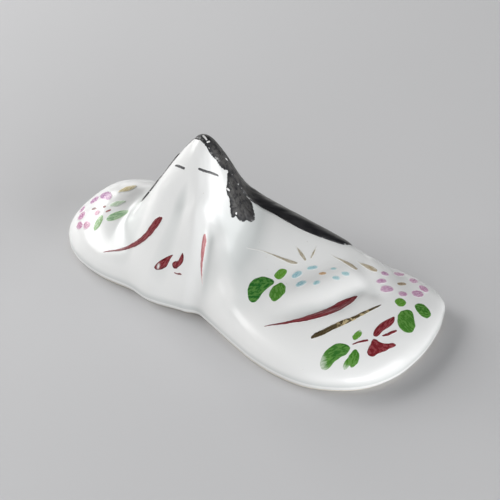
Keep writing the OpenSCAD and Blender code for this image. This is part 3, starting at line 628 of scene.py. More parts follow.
# Hair outlines in plan parts, anticlockwise, each after the point that its rings close on.
HAIR = {
    "hair_back": ((-6.9, 4.5), [
        (-10.25, 2.2), (-9.47, 1.83), (-8.97, 1.78), (-8.31, 1.64), (-7.82, 1.57), (-7.33, 1.48),
        (-6.74, 1.46), (-6.16, 1.74), (-5.73, 1.83), (-5.2, 2.07), (-4.87, 2.65), (-4.65, 3.28),
        (-3.87, 3.74), (-3.18, 4.21), (-2.39, 4.6), (-1.59, 4.86), (-0.93, 5.12), (0.05, 5.66),
        (1.3, 5.9), (3.08, 5.97), (5.68, 6.14), (8.37, 6.49), (10.86, 7.14), (13.06, 7.98),
        (14.85, 8.87), (15.35, 9.45), (15.55, 10.1), (15.6, 10.9), (15.4, 11.8), (14.2, 13.3),
        (10.6, 13.7), (7, 13.9), (4.3, 14), (1.6, 14.1), (-1, 14.2), (-3.7, 14.3), (-6.4, 14.4),
        (-9, 14.5), (-12.5, 14.5), (-16, 14.3), (-19.2, 12.5), (-19.6, 10.7), (-19.8, 9),
        (-19.75, 7.6), (-19.4, 6.2), (-18.6, 4.6), (-17, 4.36), (-15.5, 3.88), (-14.1, 3.42),
        (-13, 2.95), (-12.2, 2.85), (-11.2, 2.9), (-10.5, 2.75),
    ]),
    "hair_lock_right": ((-1.5, 2.5), [
        (-4.67, 3.15), (-4.4, 2.51), (-3.97, 1.81), (-3.69, 1.21), (-3.36, 0.87), (-3.01, 0.88),
        (-2.6, 0.61), (-2.26, 0.17), (-1.93, -0.13), (-1.61, -0.19), (-1.45, 0.05), (-1.4, 0.47),
        (-1.26, 0.6), (-0.93, 0.64), (-0.5, 0.96), (-0.17, 1.42), (-0.07, 1.86), (0.27, 2.1),
        (0.72, 2.48), (0.91, 2.99), (0.68, 3.59), (0.13, 4.11), (-0.39, 4.51), (-0.8, 4.85),
        (-1.04, 4.95), (-1.62, 4.84), (-2.42, 4.61), (-3.22, 4.22), (-3.92, 3.76), (-4.58, 3.38),
    ]),
    "hair_lock_left": ((-17, 3), [
        (-13.2, 2.55), (-13.9, 3.12), (-15.4, 3.62), (-17, 4.1), (-18.7, 4.3), (-20.2, 3.8),
        (-21.3, 2.95), (-21.9, 2.1), (-21.5, 1.55), (-20.9, 1.15), (-20.2, 1.25), (-19.2, 1.5),
        (-18, 1.75), (-16.6, 2), (-15.2, 2.2), (-14, 2.4),
    ]),
}

# Spots where the hair's coat shows white: two ends of each and its half width, in plan parts.
HAIR_WHITE_SPOTS = [
    ((-8.9, 2.42), (-8.3, 2.2), 0.12), ((-8.02, 2.04), (-7.9, 2.28), 0.1),
    ((-3.56, 1.3), (-3.44, 1.42), 0.12), ((-5.8, 3.75), (-5.7, 3.9), 0.09),
    ((-1.56, 0.66), (-1.5, 0.76), 0.13),
]

# A spot left white inside a red mark, in the same form.
WHITE_SPOTS = [((-11.36, -8.12), (-11.26, -8.1), 0.17)]

# Plan point from which the strands of hair fan out.
PARTING = np.array([-8.7, 0.9])

# Steps along a brush mark between two of its points, points round it, its hand's shake, and
# the share of its width that is left at its ends.
MARK_STEPS = 12
MARK_AROUND = 24
MARK_SHAKE = 0.035
MARK_END = 0.35

# Rings of a dab as shares of its reach, on top and then underneath, the waves that make its
# edge uneven, points round a petal, and steps between two of a leaf's outline points.
DAB_TOP = (0.15, 0.3, 0.44, 0.56, 0.67, 0.77, 0.86, 0.93, 0.98, 1)
DAB_UNDER = (0.9, 0.5)
DAB_WAVES = (2, 3, 5, 8)
DAB_UNEVEN = 0.025
PETAL_AROUND = 48
LEAF_STEPS = 6

# Hair in plan parts: how fast its coat thickens from its edge, how ragged the edge is, how much
# closer together its rings lie there, and the height of its ripples in millimetres.
HAIR_SLOPE = 0.45
HAIR_RAGGED = 0.05
HAIR_CROWDING = 1.5
HAIR_RIPPLE = 0.022

# Height of a coat's edge as a share of its middle.
EDGE_SHARE = 0.12


def between(a, b, c, d, u):
    """Point a share u of the way from b to c on a smooth curve through a, b, c and d."""
    return (
        b + (c - a) / 2 * u
        + (2 * a - 5 * b + 4 * c - d) / 2 * u * u
        + (3 * b - a - 3 * c + d) / 2 * u**3
    )


def closed_curve(points, steps):
    p = np.array(points, float)
    u = (np.arange(steps) / steps)[None, :, None]
    parts = between(*(np.roll(p, 1 - n, 0)[:, None] for n in range(4)), u)
    return parts.reshape(-1, 2)


def open_curve(points, steps):
    p = np.array(points, float)
    p = np.concatenate([p[:1], p, p[-1:]])
    u = (np.arange(steps) / steps)[None, :, None]
    parts = between(p[:-3, None], p[1:-2, None], p[2:-1, None], p[3:, None], u)
    return np.concatenate([parts.reshape(-1, 3), p[-1:]])


def bare_share(q, spots):
    """How bare the glaze is at plan points q, from the spots."""
    share = np.zeros(len(q))
    for a, b, w in spots:
        a, d = np.array(a), np.array(b) - np.array(a)
        t = np.clip((q - a) @ d / (d @ d), 0, 1)
        away = np.linalg.norm(q - a - t[:, None] * d, axis=1)
        share = np.maximum(share, np.clip(1.5 - away / w, 0, 1))
    return share


def brush_mark(points, seed, tint):
    """A lens of paint carried along a smooth line, with a hand's small unevenness."""
    line = open_curve(points, MARK_STEPS)
    way = unit(np.gradient(line[:, :2], axis=0))
    side = np.stack([-way[:, 1], way[:, 0]], 1)
    n = len(line)
    along = np.arange(n) / (n - 1)
    spin = np.arange(MARK_AROUND) * TURN / MARK_AROUND
    c, s = np.cos(spin), np.sin(spin)
    kernel = np.array([1, 2, 3, 2, 1]) / 9
    shake = np.random.default_rng(seed).normal(size=(2, n))
    shake = np.array([np.convolve(row, kernel, "same") for row in shake]) * MARK_SHAKE
    # The mark keeps its width along nearly all of its length and narrows at its two ends.
    ends = np.sqrt(np.clip(1 - (2 * along - 1) ** 16, 0, 1))
    half = line[:, 2] * (MARK_END + (1 - MARK_END) * ends)
    rows, edge = [], []
    for k in range(n):
        # A narrow mark shakes less and has less paint in it.
        w = half[k] + np.where(c > 0, shake[0, k], shake[1, k]) * min(1, half[k] / 0.2)
        q = line[k, :2] + side[k] * (c * w)[:, None]
        domed = 0.02 + np.maximum(s, 0) ** 0.8 * PAINT_T * min(1, 0.3 + half[k] * 2)
        rows.append(skin(q[:, 0], q[:, 1], PAINT_LEVEL + np.where(s < 0, PAINT_UNDER, domed)))
        edge.append((1 - np.abs(c)) * half[k])
    layers = {
        "along": np.repeat(along[:, None], MARK_AROUND, 1),
        "across": np.tile(c, (n, 1)),
        "edge": np.array(edge),
        "bare": np.zeros((n, MARK_AROUND)),
        "tint": np.full((n, MARK_AROUND), tint),
    }
    return skin(*line[0, :2], PAINT_LEVEL), np.array(rows), skin(*line[-1, :2], PAINT_LEVEL), layers


def dab(middle, edge, axis, seed, tint):
    """A drop of paint: domed rings about its middle and a face under it."""
    middle, axis = np.array(middle), unit(np.array(axis))
    out = edge - middle
    turns = np.arctan2(out[:, 1], out[:, 0])
    rng = np.random.default_rng(seed)
    for n in DAB_WAVES:
        wave = rng.uniform(-DAB_UNEVEN, DAB_UNEVEN) * np.sin(n * turns + rng.uniform(0, 6))
        out = out * (1 + wave)[:, None]
    far = out @ axis
    side = out @ np.array([-axis[1], axis[0]])
    spread = np.abs(side).max()
    thick = PAINT_T * min(1, 0.4 + 0.6 * spread)
    size = np.linalg.norm(out, axis=1)
    rows, rim, along, across, bare = [], [], [], [], []
    for share, top in [(share, True) for share in DAB_TOP] + [(share, False) for share in DAB_UNDER]:
        q = middle + out * share
        domed = thick * (EDGE_SHARE + (1 - EDGE_SHARE) * math.sqrt(1 - share**3))
        level = PAINT_LEVEL + (domed if top else PAINT_UNDER)
        rows.append(skin(q[:, 0], q[:, 1], np.full(len(turns), level)))
        along.append((far * share - far.min()) / (far.max() - far.min()))
        across.append(side * share / spread)
        rim.append((1 - share) * size)
        bare.append(bare_share(q, WHITE_SPOTS))
    layers = {
        "along": np.array(along),
        "across": np.array(across),
        "edge": np.array(rim),
        "bare": np.array(bare),
        "tint": np.full((len(rows), len(turns)), tint),
    }
    first = skin(*middle, PAINT_LEVEL + thick)
    return first, np.array(rows), skin(*middle, PAINT_LEVEL + PAINT_UNDER), layers


def petal(row, seed, tint):
    x, y, long, short, turn = row
    turns = np.arange(PETAL_AROUND) * TURN / PETAL_AROUND
    a = math.radians(turn)
    axis, across = np.array([math.cos(a), math.sin(a)]), np.array([-math.sin(a), math.cos(a)])
    edge = np.outer(long * np.cos(turns), axis) + np.outer(short * np.sin(turns), across)
    return dab((x, y), edge + np.array([x, y]), axis, seed, tint)


def leaf(row, seed, tint):
    """A leaf or blossom petal: its outline starts at its root."""
    middle, points = row
    edge = closed_curve(points, LEAF_STEPS)
    return dab(middle, edge, edge[0] - edge.mean(0), seed, tint)


def hair(hub, points, seed, rings, steps):
    """A thick coat of black enamel with ragged, brushed edges."""
    hub = np.array(hub)
    edge = closed_curve(points, steps) - hub
    n = len(edge)
    rng = np.random.default_rng(seed)
    ragged = np.convolve(np.tile(rng.normal(size=n), 3), [0.25, 0.5, 0.25], "same")[n : 2 * n]
    edge = edge + unit(edge) * (ragged * HAIR_RAGGED)[:, None]
    size = np.linalg.norm(edge, axis=1)
    shares = 1 - (1 - np.arange(1, rings + 1) / rings) ** HAIR_CROWDING
    layers = {"fan": [], "run": [], "edge": [], "bare": []}
    rows = []
    for share, top in [(s, True) for s in shares] + [(s, False) for s in shares[::-1][1::3]]:
        q = hub + edge * share
        inward = (1 - share) * size
        fan = q - PARTING
        angle = np.arctan2(fan[:, 0], fan[:, 1])
        run = np.linalg.norm(fan, axis=1)
        lift = np.full(n, HAIR_UNDER)
        if top:
            # The strands show as two sets of fine ripples that fade out at the parting.
            rise = 1 - np.exp(-inward / HAIR_SLOPE)
            ripple = np.sin(angle * 34 + 1.3 * np.sin(angle * 9)) + 0.6 * np.sin(angle * 71 + 2)
            lift = HAIR_T * (EDGE_SHARE + (1 - EDGE_SHARE) * rise)
            lift = lift + HAIR_RIPPLE * ripple * rise * np.minimum(1, run / 4)
        rows.append(skin(q[:, 0], q[:, 1], PAINT_LEVEL + lift))
        layers["fan"].append(angle)
        layers["run"].append(run)
        layers["edge"].append(inward)
        layers["bare"].append(bare_share(q, HAIR_WHITE_SPOTS))
    first, last = skin(*hub, PAINT_LEVEL + HAIR_T), skin(*hub, PAINT_LEVEL + HAIR_UNDER)
    return first, np.array(rows), last, {key: np.array(value) for key, value in layers.items()}


def shader_node(tree, kind, inputs=None, **settings):
    """A node with its settings, and its inputs set or joined to another node's output."""
    node = tree.nodes.new(kind)
    for key, value in settings.items():
        setattr(node, key, value)
    for key, value in (inputs or {}).items():
        if isinstance(value, bpy.types.NodeSocket):
            tree.links.new(value, node.inputs[key])
        else:
            node.inputs[key].default_value = value
    return node


def new_group(name, inputs, outputs):
    group = bpy.data.node_groups.new(name, "ShaderNodeTree")
    for label, kind, value in inputs:
        socket = group.interface.new_socket(name=label, in_out="INPUT", socket_type=kind)
        socket.default_value = value
    for label, kind in outputs:
        group.interface.new_socket(name=label, in_out="OUTPUT", socket_type=kind)
    return group, group.nodes.new("NodeGroupInput"), group.nodes.new("NodeGroupOutput")


def attribute(tree, name):
    return shader_node(tree, "ShaderNodeAttribute", attribute_name=name).outputs["Fac"]


def place(tree):
    return shader_node(tree, "ShaderNodeTexCoord").outputs["Object"]


def maths(tree, operation, a, b=0.0, clamp=False):
    node = shader_node(tree, "ShaderNodeMath", {0: a, 1: b}, operation=operation, use_clamp=clamp)
    return node.outputs[0]


def times(tree, a, b, clamp=False):
    return maths(tree, "MULTIPLY", a, b, clamp)


def plus(tree, a, b, clamp=False):
    return maths(tree, "ADD", a, b, clamp)


def ramp(tree, value, low, high, to_low=0.0, to_high=1.0):
    """Value mapped smoothly from low and high to two other values."""
    inputs = {"Value": value, "From Min": low, "From Max": high, "To Min": to_low, "To Max": to_high}
    node = shader_node(tree, "ShaderNodeMapRange", inputs, interpolation_type="SMOOTHSTEP")
    return node.outputs["Result"]


def mixed(tree, share, a, b):
    """Colour a with a share of colour b over it."""
    a, b = (c if isinstance(c, bpy.types.NodeSocket) else (*c, 1) for c in (a, b))
    return shader_node(tree, "ShaderNodeMix", {0: share, 6: a, 7: b}, data_type="RGBA").outputs[2]


def noise(tree, vector, scale, detail=2.0, rough=0.5):
    inputs = {"Scale": scale, "Detail": detail, "Roughness": rough, "Vector": vector}
    return shader_node(tree, "ShaderNodeTexNoise", inputs).outputs["Fac"]


def glaze_ground_group():
    """White glaze: a little cooler where it pools, darker in hollows as painted shade, with faint
    clouding and specks.
    """
    group, given, made = new_group(
        "glaze_ground",
        [("Position", "NodeSocketVector", (0, 0, 0)), ("Pool And Shade", "NodeSocketFloat", 0.0)],
        [("Color", "NodeSocketColor"), ("Roughness", "NodeSocketFloat"), ("Height", "NodeSocketFloat")],
    )
    at = given.outputs["Position"]
    white = mixed(group, noise(group, at, 90.0, 3.0), (0.815, 0.82, 0.81), (0.845, 0.848, 0.84))
    # Hollows are painted darker as shade, and a little cooler where the glaze pools.
    pooled_and_shaded = mixed(group, given.outputs["Pool And Shade"], white, (0.66, 0.68, 0.672))
    speck = ramp(group, noise(group, at, 1400.0, 1.0), 0.78, 0.83, 0.0, 0.35)
    colour = mixed(group, speck, pooled_and_shaded, (0.45, 0.40, 0.34))
    rough = ramp(group, noise(group, at, 60.0), 0.3, 0.7, 0.2, 0.27)
    group.links.new(colour, made.inputs["Color"])
    group.links.new(rough, made.inputs["Roughness"])
    group.links.new(noise(group, at, 260.0, 2.0), made.inputs["Height"])
    return group


def brush_enamel_group():
    """Paint from a loaded brush: full in the middle, thin at its edges and where it runs dry."""
    group, given, made = new_group(
        "brush_enamel",
        [
            ("Position", "NodeSocketVector", (0, 0, 0)),
            ("Along", "NodeSocketFloat", 0.5),
            ("Across", "NodeSocketFloat", 0.0),
            ("Edge", "NodeSocketFloat", 1.0),
            ("Tint", "NodeSocketFloat", 0.0),
            ("Bare", "NodeSocketFloat", 0.0),
            ("Full", "NodeSocketColor", (0.2, 0.0, 0.0, 1)),
            ("Second", "NodeSocketColor", (0.2, 0.0, 0.0, 1)),
            ("Thin", "NodeSocketColor", (0.5, 0.2, 0.2, 1)),
            ("Glaze", "NodeSocketColor", (0.83, 0.834, 0.825, 1)),
            ("Line", "NodeSocketColor", (0.04, 0.006, 0.01, 1)),
            ("Edge Width", "NodeSocketFloat", 0.1),
            ("Dry Start", "NodeSocketFloat", 0.0),
            ("Dry End", "NodeSocketFloat", 0.0),
            ("Streaks", "NodeSocketFloat", 0.3),
            ("Line Share", "NodeSocketFloat", 0.0),
        ],
        [("Color", "NodeSocketColor"), ("Roughness", "NodeSocketFloat"), ("Height", "NodeSocketFloat")],
    )
    o = given.outputs
    comb = shader_node(group, "ShaderNodeCombineXYZ", {
        "X": times(group, o["Along"], 3.0), "Y": times(group, o["Across"], 3.5),
        "Z": times(group, o["Tint"], 9.0),
    })
    bristle = noise(group, comb.outputs[0], 1.6, 3.0, 0.6)
    grit = noise(group, o["Position"], 2300.0, 2.0)
    mottle = noise(group, o["Position"], 520.0, 3.0, 0.6)
    # Paint thins out at the edge of the mark, unevenly.
    uneven = times(group, o["Edge Width"], plus(group, grit, 0.45))
    at_edge = ramp(group, o["Edge"], 0.0, uneven)
    # A dry brush leaves less paint at the start or the end of its stroke.
    dry_start = times(group, o["Dry Start"], ramp(group, o["Along"], 0.0, 0.55, 1.0, 0.0))
    dry_end = times(group, o["Dry End"], ramp(group, o["Along"], 0.45, 1.0, 0.0, 1.0))
    dry = plus(group, dry_start, dry_end)
    dry = times(group, dry, plus(group, times(group, bristle, 0.9), 0.55), True)
    cover = times(group, at_edge, maths(group, "SUBTRACT", 1.0, dry), True)
    # Thin streaks run along the stroke, with a fine mottle over them.
    streak = ramp(group, bristle, 0.38, 0.62, -1.0, 1.0)
    wash = times(group, o["Streaks"], plus(group, streak, 0.6), True)
    wash = plus(group, wash, ramp(group, mottle, 0.5, 0.75, 0.0, 0.25), True)
    body = mixed(group, wash, mixed(group, o["Tint"], o["Full"], o["Second"]), o["Thin"])
    # Pigment gathers in a darker line just inside the edge.
    inside = ramp(group, plus(group, o["Edge"], times(group, grit, 0.06)), 0.1, 0.3, 1.0, 0.0)
    body = mixed(group, times(group, inside, o["Line Share"]), body, o["Line"])
    # Where there is hardly any paint, or none, the glaze shows.
    veil = maths(group, "DIVIDE", cover, 0.55, True)
    veil = times(group, veil, maths(group, "SUBTRACT", 1.0, o["Bare"]), True)
    colour = mixed(group, veil, o["Glaze"], mixed(group, cover, o["Thin"], body))
    group.links.new(colour, made.inputs["Color"])
    group.links.new(ramp(group, bristle, 0.3, 0.7, 0.2, 0.34), made.inputs["Roughness"])
    group.links.new(plus(group, bristle, times(group, grit, 0.35)), made.inputs["Height"])
    return group


GLAZE_GROUND = glaze_ground_group()
BRUSH_ENAMEL = brush_enamel_group()


def new_material(name):
    material = bpy.data.materials.new(name)
    material.use_nodes = True
    tree = material.node_tree
    tree.nodes.clear()
    surface = shader_node(tree, "ShaderNodeBsdfPrincipled")
    shader_node(tree, "ShaderNodeOutputMaterial", {"Surface": surface.outputs[0]})
    return material, tree, surface


def finish(tree, surface, colour, rough, level, strength, distance):
    """Joins a surface's colour, roughness and relief. The distance is in metres."""
    inputs = {"Height": level, "Strength": strength, "Distance": distance}
    relief = shader_node(tree, "ShaderNodeBump", inputs)
    tree.links.new(colour, surface.inputs["Base Color"])
    tree.links.new(rough, surface.inputs["Roughness"])
    tree.links.new(relief.outputs[0], surface.inputs["Normal"])


def glaze_material():
    material, tree, surface = new_material("clear_white_glaze")
    inputs = {"Position": place(tree), "Pool And Shade": attribute(tree, "pool_and_shade")}
    ground = shader_node(tree, "ShaderNodeGroup", node_tree=GLAZE_GROUND)
    for key, value in inputs.items():
        tree.links.new(value, ground.inputs[key])
    made = ground.outputs
    finish(tree, surface, made["Color"], made["Roughness"], made["Height"], 0.25, 0.00004)
    return material


def bare_material():
    """Bare fired porcelain: matt, cream, ground flat on the foot, with fine iron specks."""
    material, tree, surface = new_material("bare_fired_porcelain")
    at = place(tree)
    cloud = noise(tree, at, 120.0, 4.0)
    speck = ramp(tree, noise(tree, at, 900.0, 1.0), 0.74, 0.8, 0.0, 0.7)
    cream = mixed(tree, cloud, (0.70, 0.65, 0.57), (0.80, 0.77, 0.71))
    colour = mixed(tree, speck, cream, (0.34, 0.24, 0.16))
    rough = ramp(tree, cloud, 0.3, 0.7, 0.62, 0.8)
    finish(tree, surface, colour, rough, noise(tree, at, 2600.0, 2.0), 0.5, 0.00006)
    return material


def enamel(name, colours, load, flakes):
    """Enamel in its full, second and thin colours. Flakes of another show in the mark's middle."""
    material, tree, surface = new_material(name)
    paint = shader_node(tree, "ShaderNodeGroup", node_tree=BRUSH_ENAMEL)
    for key, colour in zip(("Full", "Second", "Thin"), colours):
        paint.inputs[key].default_value = (*colour, 1)
    for key, value in zip(LOADS, load):
        paint.inputs[key].default_value = value
    tree.links.new(place(tree), paint.inputs["Position"])
    for key in ("Along", "Across", "Edge", "Tint", "Bare"):
        tree.links.new(attribute(tree, key.lower()), paint.inputs[key])
    made = paint.outputs
    colour = made["Color"]
    if flakes:
        along = attribute(tree, "along")
        middle = times(tree, ramp(tree, along, 0.3, 0.5), ramp(tree, along, 0.7, 0.95, 1.0, 0.0))
        flake = ramp(tree, noise(tree, place(tree), 1500.0, 2.0), 0.48, 0.6)
        colour = mixed(tree, times(tree, middle, flake), colour, flakes)
    finish(tree, surface, colour, made["Roughness"], made["Height"], 0.3, 0.00005)
    return material


def hair_material(name, specks):
    """Black enamel laid on in long strokes that fan out from the parting."""
    material, tree, surface = new_material(name)
    fan, run, edge, bare = (attribute(tree, key) for key in ("fan", "run", "edge", "bare"))
    comb = shader_node(tree, "ShaderNodeCombineXYZ", {
        "X": times(tree, fan, 16.0), "Y": times(tree, run, 0.22), "Z": 0.0,
    })
    strand = noise(tree, comb.outputs[0], 1.5, 3.0, 0.55)
    at = place(tree)
    grit = noise(tree, at, 1500.0, 2.0, 0.6)
    mottle = noise(tree, at, 1300.0, 3.0, 0.7)
    base = mixed(tree, ramp(tree, strand, 0.35, 0.7), (0.014, 0.014, 0.016), (0.034, 0.033, 0.035))
    # The coat is thin and greyish round the face, but not at the parting or along its own edges.
    thin = times(tree, ramp(tree, run, 5.5, 11.5, 1.0, 0.0), ramp(tree, mottle, 0.38, 0.56))
    thin = times(tree, thin, ramp(tree, edge, 0.18, 0.6))
    thin = times(tree, thin, ramp(tree, run, 1.2, 2.6))
    base = mixed(tree, thin, base, (0.085, 0.082, 0.079))
    # A painted greyish sheen, in place of a reflection, shows where the coat is seen at a low angle.
    graze = shader_node(tree, "ShaderNodeLayerWeight", {"Blend": 0.5}).outputs["Facing"]
    graze = ramp(tree, graze, 0.35, 0.85, 0.0, 0.9)
    painted_sheen = times(tree, graze, ramp(tree, run, 6.0, 12.0, 0.15, 1.0))
    base = mixed(tree, painted_sheen, base, (0.15, 0.147, 0.14))
    # Small skips near the coat's edges leave the white glaze bare, and the listed spots show white.
    skip = times(tree, ramp(tree, grit, 0.6, 0.68), ramp(tree, edge, 0.15, 0.5, specks, 0.0))
    white_spot = ramp(tree, plus(tree, bare, times(tree, grit, 0.7)), 0.75, 1.0)
    base = mixed(tree, maths(tree, "MAXIMUM", skip, white_spot), base, (0.78, 0.78, 0.77))
    surface.inputs["IOR"].default_value = 1.3
    rough = ramp(tree, strand, 0.3, 0.7, 0.3, 0.44)
    level = plus(tree, strand, times(tree, grit, 0.25))
    finish(tree, surface, base, rough, level, 0.5, 0.00012)
    return material


# Colours of the enamels: full, second and thin.
INK = ((0.05, 0.05, 0.055), (0.05, 0.05, 0.055), (0.2, 0.2, 0.2))
RED = ((0.17, 0.018, 0.024), (0.215, 0.024, 0.032), (0.38, 0.09, 0.10))
FADED_RED = ((0.40, 0.09, 0.10), (0.4, 0.1, 0.1), (0.62, 0.32, 0.33))
BARK = ((0.05, 0.035, 0.018), (0.05, 0.035, 0.018), (0.16, 0.12, 0.06))
GREEN = ((0.022, 0.13, 0.024), (0.12, 0.30, 0.04), (0.15, 0.34, 0.07))
SKY = ((0.24, 0.47, 0.54), (0.36, 0.62, 0.64), (0.58, 0.73, 0.75))
APRICOT = ((0.58, 0.33, 0.16), (0.58, 0.33, 0.16), (0.78, 0.66, 0.50))
STRAW = ((0.27, 0.23, 0.15), (0.40, 0.32, 0.20), (0.60, 0.56, 0.47))
LAVENDER = ((0.46, 0.22, 0.40), (0.55, 0.28, 0.43), (0.72, 0.56, 0.66))
UMBER = ((0.28, 0.20, 0.12), (0.28, 0.2, 0.12), (0.6, 0.52, 0.40))
MALLOW = ((0.42, 0.2, 0.40), (0.52, 0.2, 0.30), (0.66, 0.47, 0.58))
YOUNG_GREEN = ((0.13, 0.33, 0.06), (0.22, 0.38, 0.22), (0.45, 0.6, 0.38))
GOLD = ((0.52, 0.42, 0.2), (0.52, 0.42, 0.2), (0.70, 0.63, 0.44))
SAGE = ((0.42, 0.56, 0.38), (0.42, 0.56, 0.38), (0.66, 0.74, 0.62))
MAROON = ((0.14, 0.06, 0.06), (0.28, 0.05, 0.06), (0.5, 0.36, 0.32))

# Each painted node: its slot, its colours and how the brush was loaded, which is the width of
# its thin edge in plan parts, how dry it starts and ends, its streaks and its darker line.
LOADS = ("Edge Width", "Dry Start", "Dry End", "Streaks", "Line Share")
PAINTS = {
    "left_eye_stroke": ("left_eye_enamel", INK, (0.04, 0, 0, 0.3, 0)),
    "right_eye_stroke": ("right_eye_enamel", INK, (0.04, 0, 0, 0.3, 0)),
    "left_sleeve_red_stroke": ("left_sleeve_red_enamel", RED, (0.14, 0.1, 0, 0.3, 0.5)),
    "chest_red_strokes": ("chest_red_enamel", RED, (0.07, 0, 0, 0.3, 0.6)),
    "centre_fold_red_stroke": ("centre_fold_red_enamel", FADED_RED, (0.14, 0, 0.8, 0.5, 0)),
    "right_sleeve_red_stroke": ("right_sleeve_red_enamel", RED, (0.1, 0.15, 0, 0.3, 0.7)),
    "right_sleeve_branch_stroke": ("branch_enamel", BARK, (0.1, 0, 0, 0.4, 0)),
    "chest_leaves": ("chest_leaf_enamel", GREEN, (0.12, 0, 0, 0.35, 0)),
    "blue_flower_petals": ("blue_petal_enamel", SKY, (0.45, 0, 0.4, 0.4, 0)),
    "blue_flower_middle": ("blue_middle_enamel", APRICOT, (0.25, 0, 0, 0.3, 0)),
    "gold_grass_strokes": ("gold_grass_enamel", STRAW, (0.2, 0.8, 0.1, 0.5, 0)),
    "pink_flower_petals": ("pink_petal_enamel", LAVENDER, (0.42, 0.3, 0.2, 0.4, 0)),
    "pink_flower_middle": ("pink_middle_enamel", UMBER, (0.3, 0, 0, 0.3, 0)),
    "right_sleeve_upper_leaves": ("upper_leaf_enamel", GREEN, (0.12, 0, 0, 0.35, 0)),
    "red_blossom_strokes": ("blossom_enamel", RED, (0.1, 0, 0, 0.3, 0.4)),
    "right_sleeve_lower_leaves": ("lower_leaf_enamel", GREEN, (0.14, 0.75, 0, 0.35, 0)),
    "left_sleeve_pink_petals": ("left_petal_enamel", MALLOW, (0.42, 0.15, 0.15, 0.4, 0)),
    "left_sleeve_leaves": ("left_leaf_enamel", YOUNG_GREEN, (0.25, 0, 0.5, 0.5, 0)),
    "left_sleeve_gold_stroke": ("left_gold_enamel", GOLD, (0.4, 0.25, 0.4, 0.5, 0)),
    "left_sleeve_pale_stroke": ("left_pale_enamel", SAGE, (0.3, 0.3, 0.4, 0.5, 0)),
    "left_sleeve_stamens": ("left_stamen_enamel", MAROON, (0.15, 0, 0, 0.3, 0)),
}

# Share of the second colour in each mark, where it isn't even over the node's marks.
TINTS = {
    "chest_leaves": (0, 0.5, 1),
    "right_sleeve_upper_leaves": (0.9, 0.3, 0.4),
    "right_sleeve_lower_leaves": (0.15, 0.45, 1),
}

# Colour of the flakes in a mark that has them.
FLAKES = {"right_sleeve_branch_stroke": (0.52, 0.42, 0.24)}

# Each coat of hair: its slot, random seed, rings, steps between outline points and its skips.
COATS = {
    "hair_back": ("black_hair_enamel", 11, 44, 14, 0.5),
    "hair_lock_right": ("black_lock_right_enamel", 23, 14, 10, 0.4),
    "hair_lock_left": ("black_lock_left_enamel", 37, 14, 10, 0.6),
}


def hair_piece(node):
    slot, seed, rings, steps, specks = COATS[node]
    coat = hair(*HAIR[node], seed, rings, steps)
    name = node + "_finish"
    new_piece(name, pulled_drums(name, [coat]), hair_material(slot, specks))


def painted_piece(node, seed):
    """The finish of a painted node: its leaves, petals and brush marks in one mesh."""
    slot, colours, load = PAINTS[node]
    tables = ((leaf, OUTLINES), (petal, DABS), (brush_mark, BRUSH_MARKS))
    rows = [(make, row) for make, table in tables for row in table.get(node, [])]
    tints = TINTS.get(node, np.linspace(0, 1, len(rows)))
    marks = [make(row, seed + k, tints[k]) for k, (make, row) in enumerate(rows)]
    name = node + "_finish"
    material = enamel(slot, colours, load, FLAKES.get(node))
    new_piece(name, pulled_drums(name, marks), material)


porcelain_body(bare_material())
white_glaze(glaze_material())
for name in COATS:
    hair_piece(name)
for index, name in enumerate(PAINTS):
    painted_piece(name, 100 + 20 * index)


# The camera fitted to the photograph. It stands so many degrees round from the front and above
# the table, and so many millimetres from its aim. Lengths in the picture are in pixels: its
# side, the focal length, and how far its middle lies to the right of the aim and above it.
CAMERA_TURN = 33
CAMERA_RISE = 38
CAMERA_AWAY = 420.3
CAMERA_AIM = (0.635, -1.097, 0)
PICTURE_SIDE = 500
PICTURE_FOCAL = 2436
PICTURE_RIGHT = 10.4
PICTURE_UP = 48.8
SENSOR = 36


def photo_camera():
    turn, rise = math.radians(CAMERA_TURN), math.radians(CAMERA_RISE)
    back = Vector((
        math.sin(turn) * math.cos(rise), -math.cos(turn) * math.cos(rise), math.sin(rise),
    ))
    right = Vector((math.cos(turn), math.sin(turn), 0))
    up = back.cross(right)
    data = bpy.data.cameras.new("photo_camera")
    data.sensor_width = SENSOR
    data.lens = PICTURE_FOCAL / PICTURE_SIDE * SENSOR
    data.clip_start, data.clip_end = 0.05, 10
    camera = bpy.data.objects.new("photo_camera", data)
    bpy.context.scene.collection.objects.link(camera)
    camera.location = (Vector(CAMERA_AIM) + back * CAMERA_AWAY) * MM
    look = -back * PICTURE_FOCAL + right * PICTURE_RIGHT + up * PICTURE_UP
    camera.rotation_mode = "QUATERNION"
    camera.rotation_quaternion = look.to_track_quat("-Z", "Y")
    bpy.context.scene.camera = camera


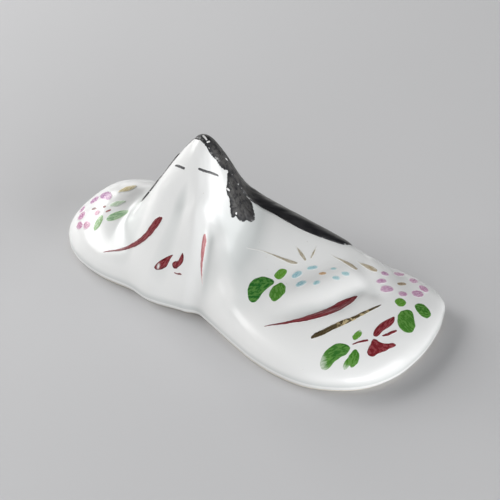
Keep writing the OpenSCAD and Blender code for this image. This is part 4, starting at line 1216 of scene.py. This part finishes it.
def floor():
    """A plain grey sheet, 4 m across."""
    mesh_data = bmesh.new()
    bmesh.ops.create_grid(mesh_data, x_segments=8, y_segments=8, size=2.0)
    mesh = bpy.data.meshes.new("table_sheet")
    mesh_data.to_mesh(mesh)
    mesh_data.free()
    sheet = bpy.data.objects.new("table_sheet", mesh)
    bpy.context.scene.collection.objects.link(sheet)
    material, tree, surface = new_material("grey_table_sheet")
    cloud = noise(tree, place(tree), 14.0, 3.0)
    grey = mixed(tree, cloud, (0.583, 0.583, 0.591), (0.607, 0.607, 0.615))
    # The sheet throws back less light than it shows, so that the rim and the foot stay shaded.
    path = shader_node(tree, "ShaderNodeLightPath").outputs
    seen = maths(tree, "MAXIMUM", path["Is Camera Ray"], path["Is Glossy Ray"])
    tree.links.new(mixed(tree, seen, (0.42, 0.42, 0.425), grey), surface.inputs["Base Color"])
    surface.inputs["Roughness"].default_value = 0.75
    surface.inputs["Specular IOR Level"].default_value = 0.2
    mesh.materials.append(material)


# Lamps, all aimed at the origin from the same distance in metres. Two keys stand to the left of
# the doll, so that its shadow falls past the wide sleeve, and low fills light its other sides.
# Each row has the turn and the height of the lamp in degrees, its width and length in metres,
# its share of the light and its colour.
LAMP_AWAY = 0.55
LAMPS = {
    "key_light": (163, 27, 0.34, 0.24, 0.52, (1, 0.997, 0.992)),
    "second_key_light": (196, 27, 0.44, 0.27, 0.8, (1, 0.998, 0.995)),
    "low_back_light": (118, 13, 0.34, 0.26, 0.16, (1, 1, 1)),
    "low_front_fill": (284, 14, 0.34, 0.2, 0.12, (0.985, 0.992, 1)),
    "low_right_fill": (330, 13, 0.4, 0.18, 0.68, (0.985, 0.992, 1)),
    "right_fill": (6, 20, 0.4, 0.24, 0.42, (0.985, 0.992, 1)),
}


def soft_box(name, turn, rise, width, length, share, colour):
    data = bpy.data.lights.new(name, "AREA")
    data.shape = "RECTANGLE"
    data.size, data.size_y = width, length
    data.energy = (math.pi * LAMP_AWAY) ** 2 * share
    data.color = colour
    lamp = bpy.data.objects.new(name, data)
    bpy.context.scene.collection.objects.link(lamp)
    turn, rise = math.radians(turn), math.radians(rise)
    lamp.location = LAMP_AWAY * Vector((
        math.cos(turn) * math.cos(rise), math.sin(turn) * math.cos(rise), math.sin(rise),
    ))
    lamp.rotation_mode = "QUATERNION"
    lamp.rotation_quaternion = (-lamp.location).to_track_quat("-Z", "Y")


def studio():
    """The lamps, and a very faint, cool glow from all round."""
    for name, row in LAMPS.items():
        soft_box(name, *row)
    world = bpy.data.worlds.new("studio_world")
    bpy.context.scene.world = world
    world.use_nodes = True
    glow = world.node_tree.nodes["Background"]
    glow.inputs["Color"].default_value = (0.93, 0.95, 1, 1)
    glow.inputs["Strength"].default_value = 0.01
    bpy.context.scene.view_settings.view_transform = "Standard"


photo_camera()
floor()
studio()
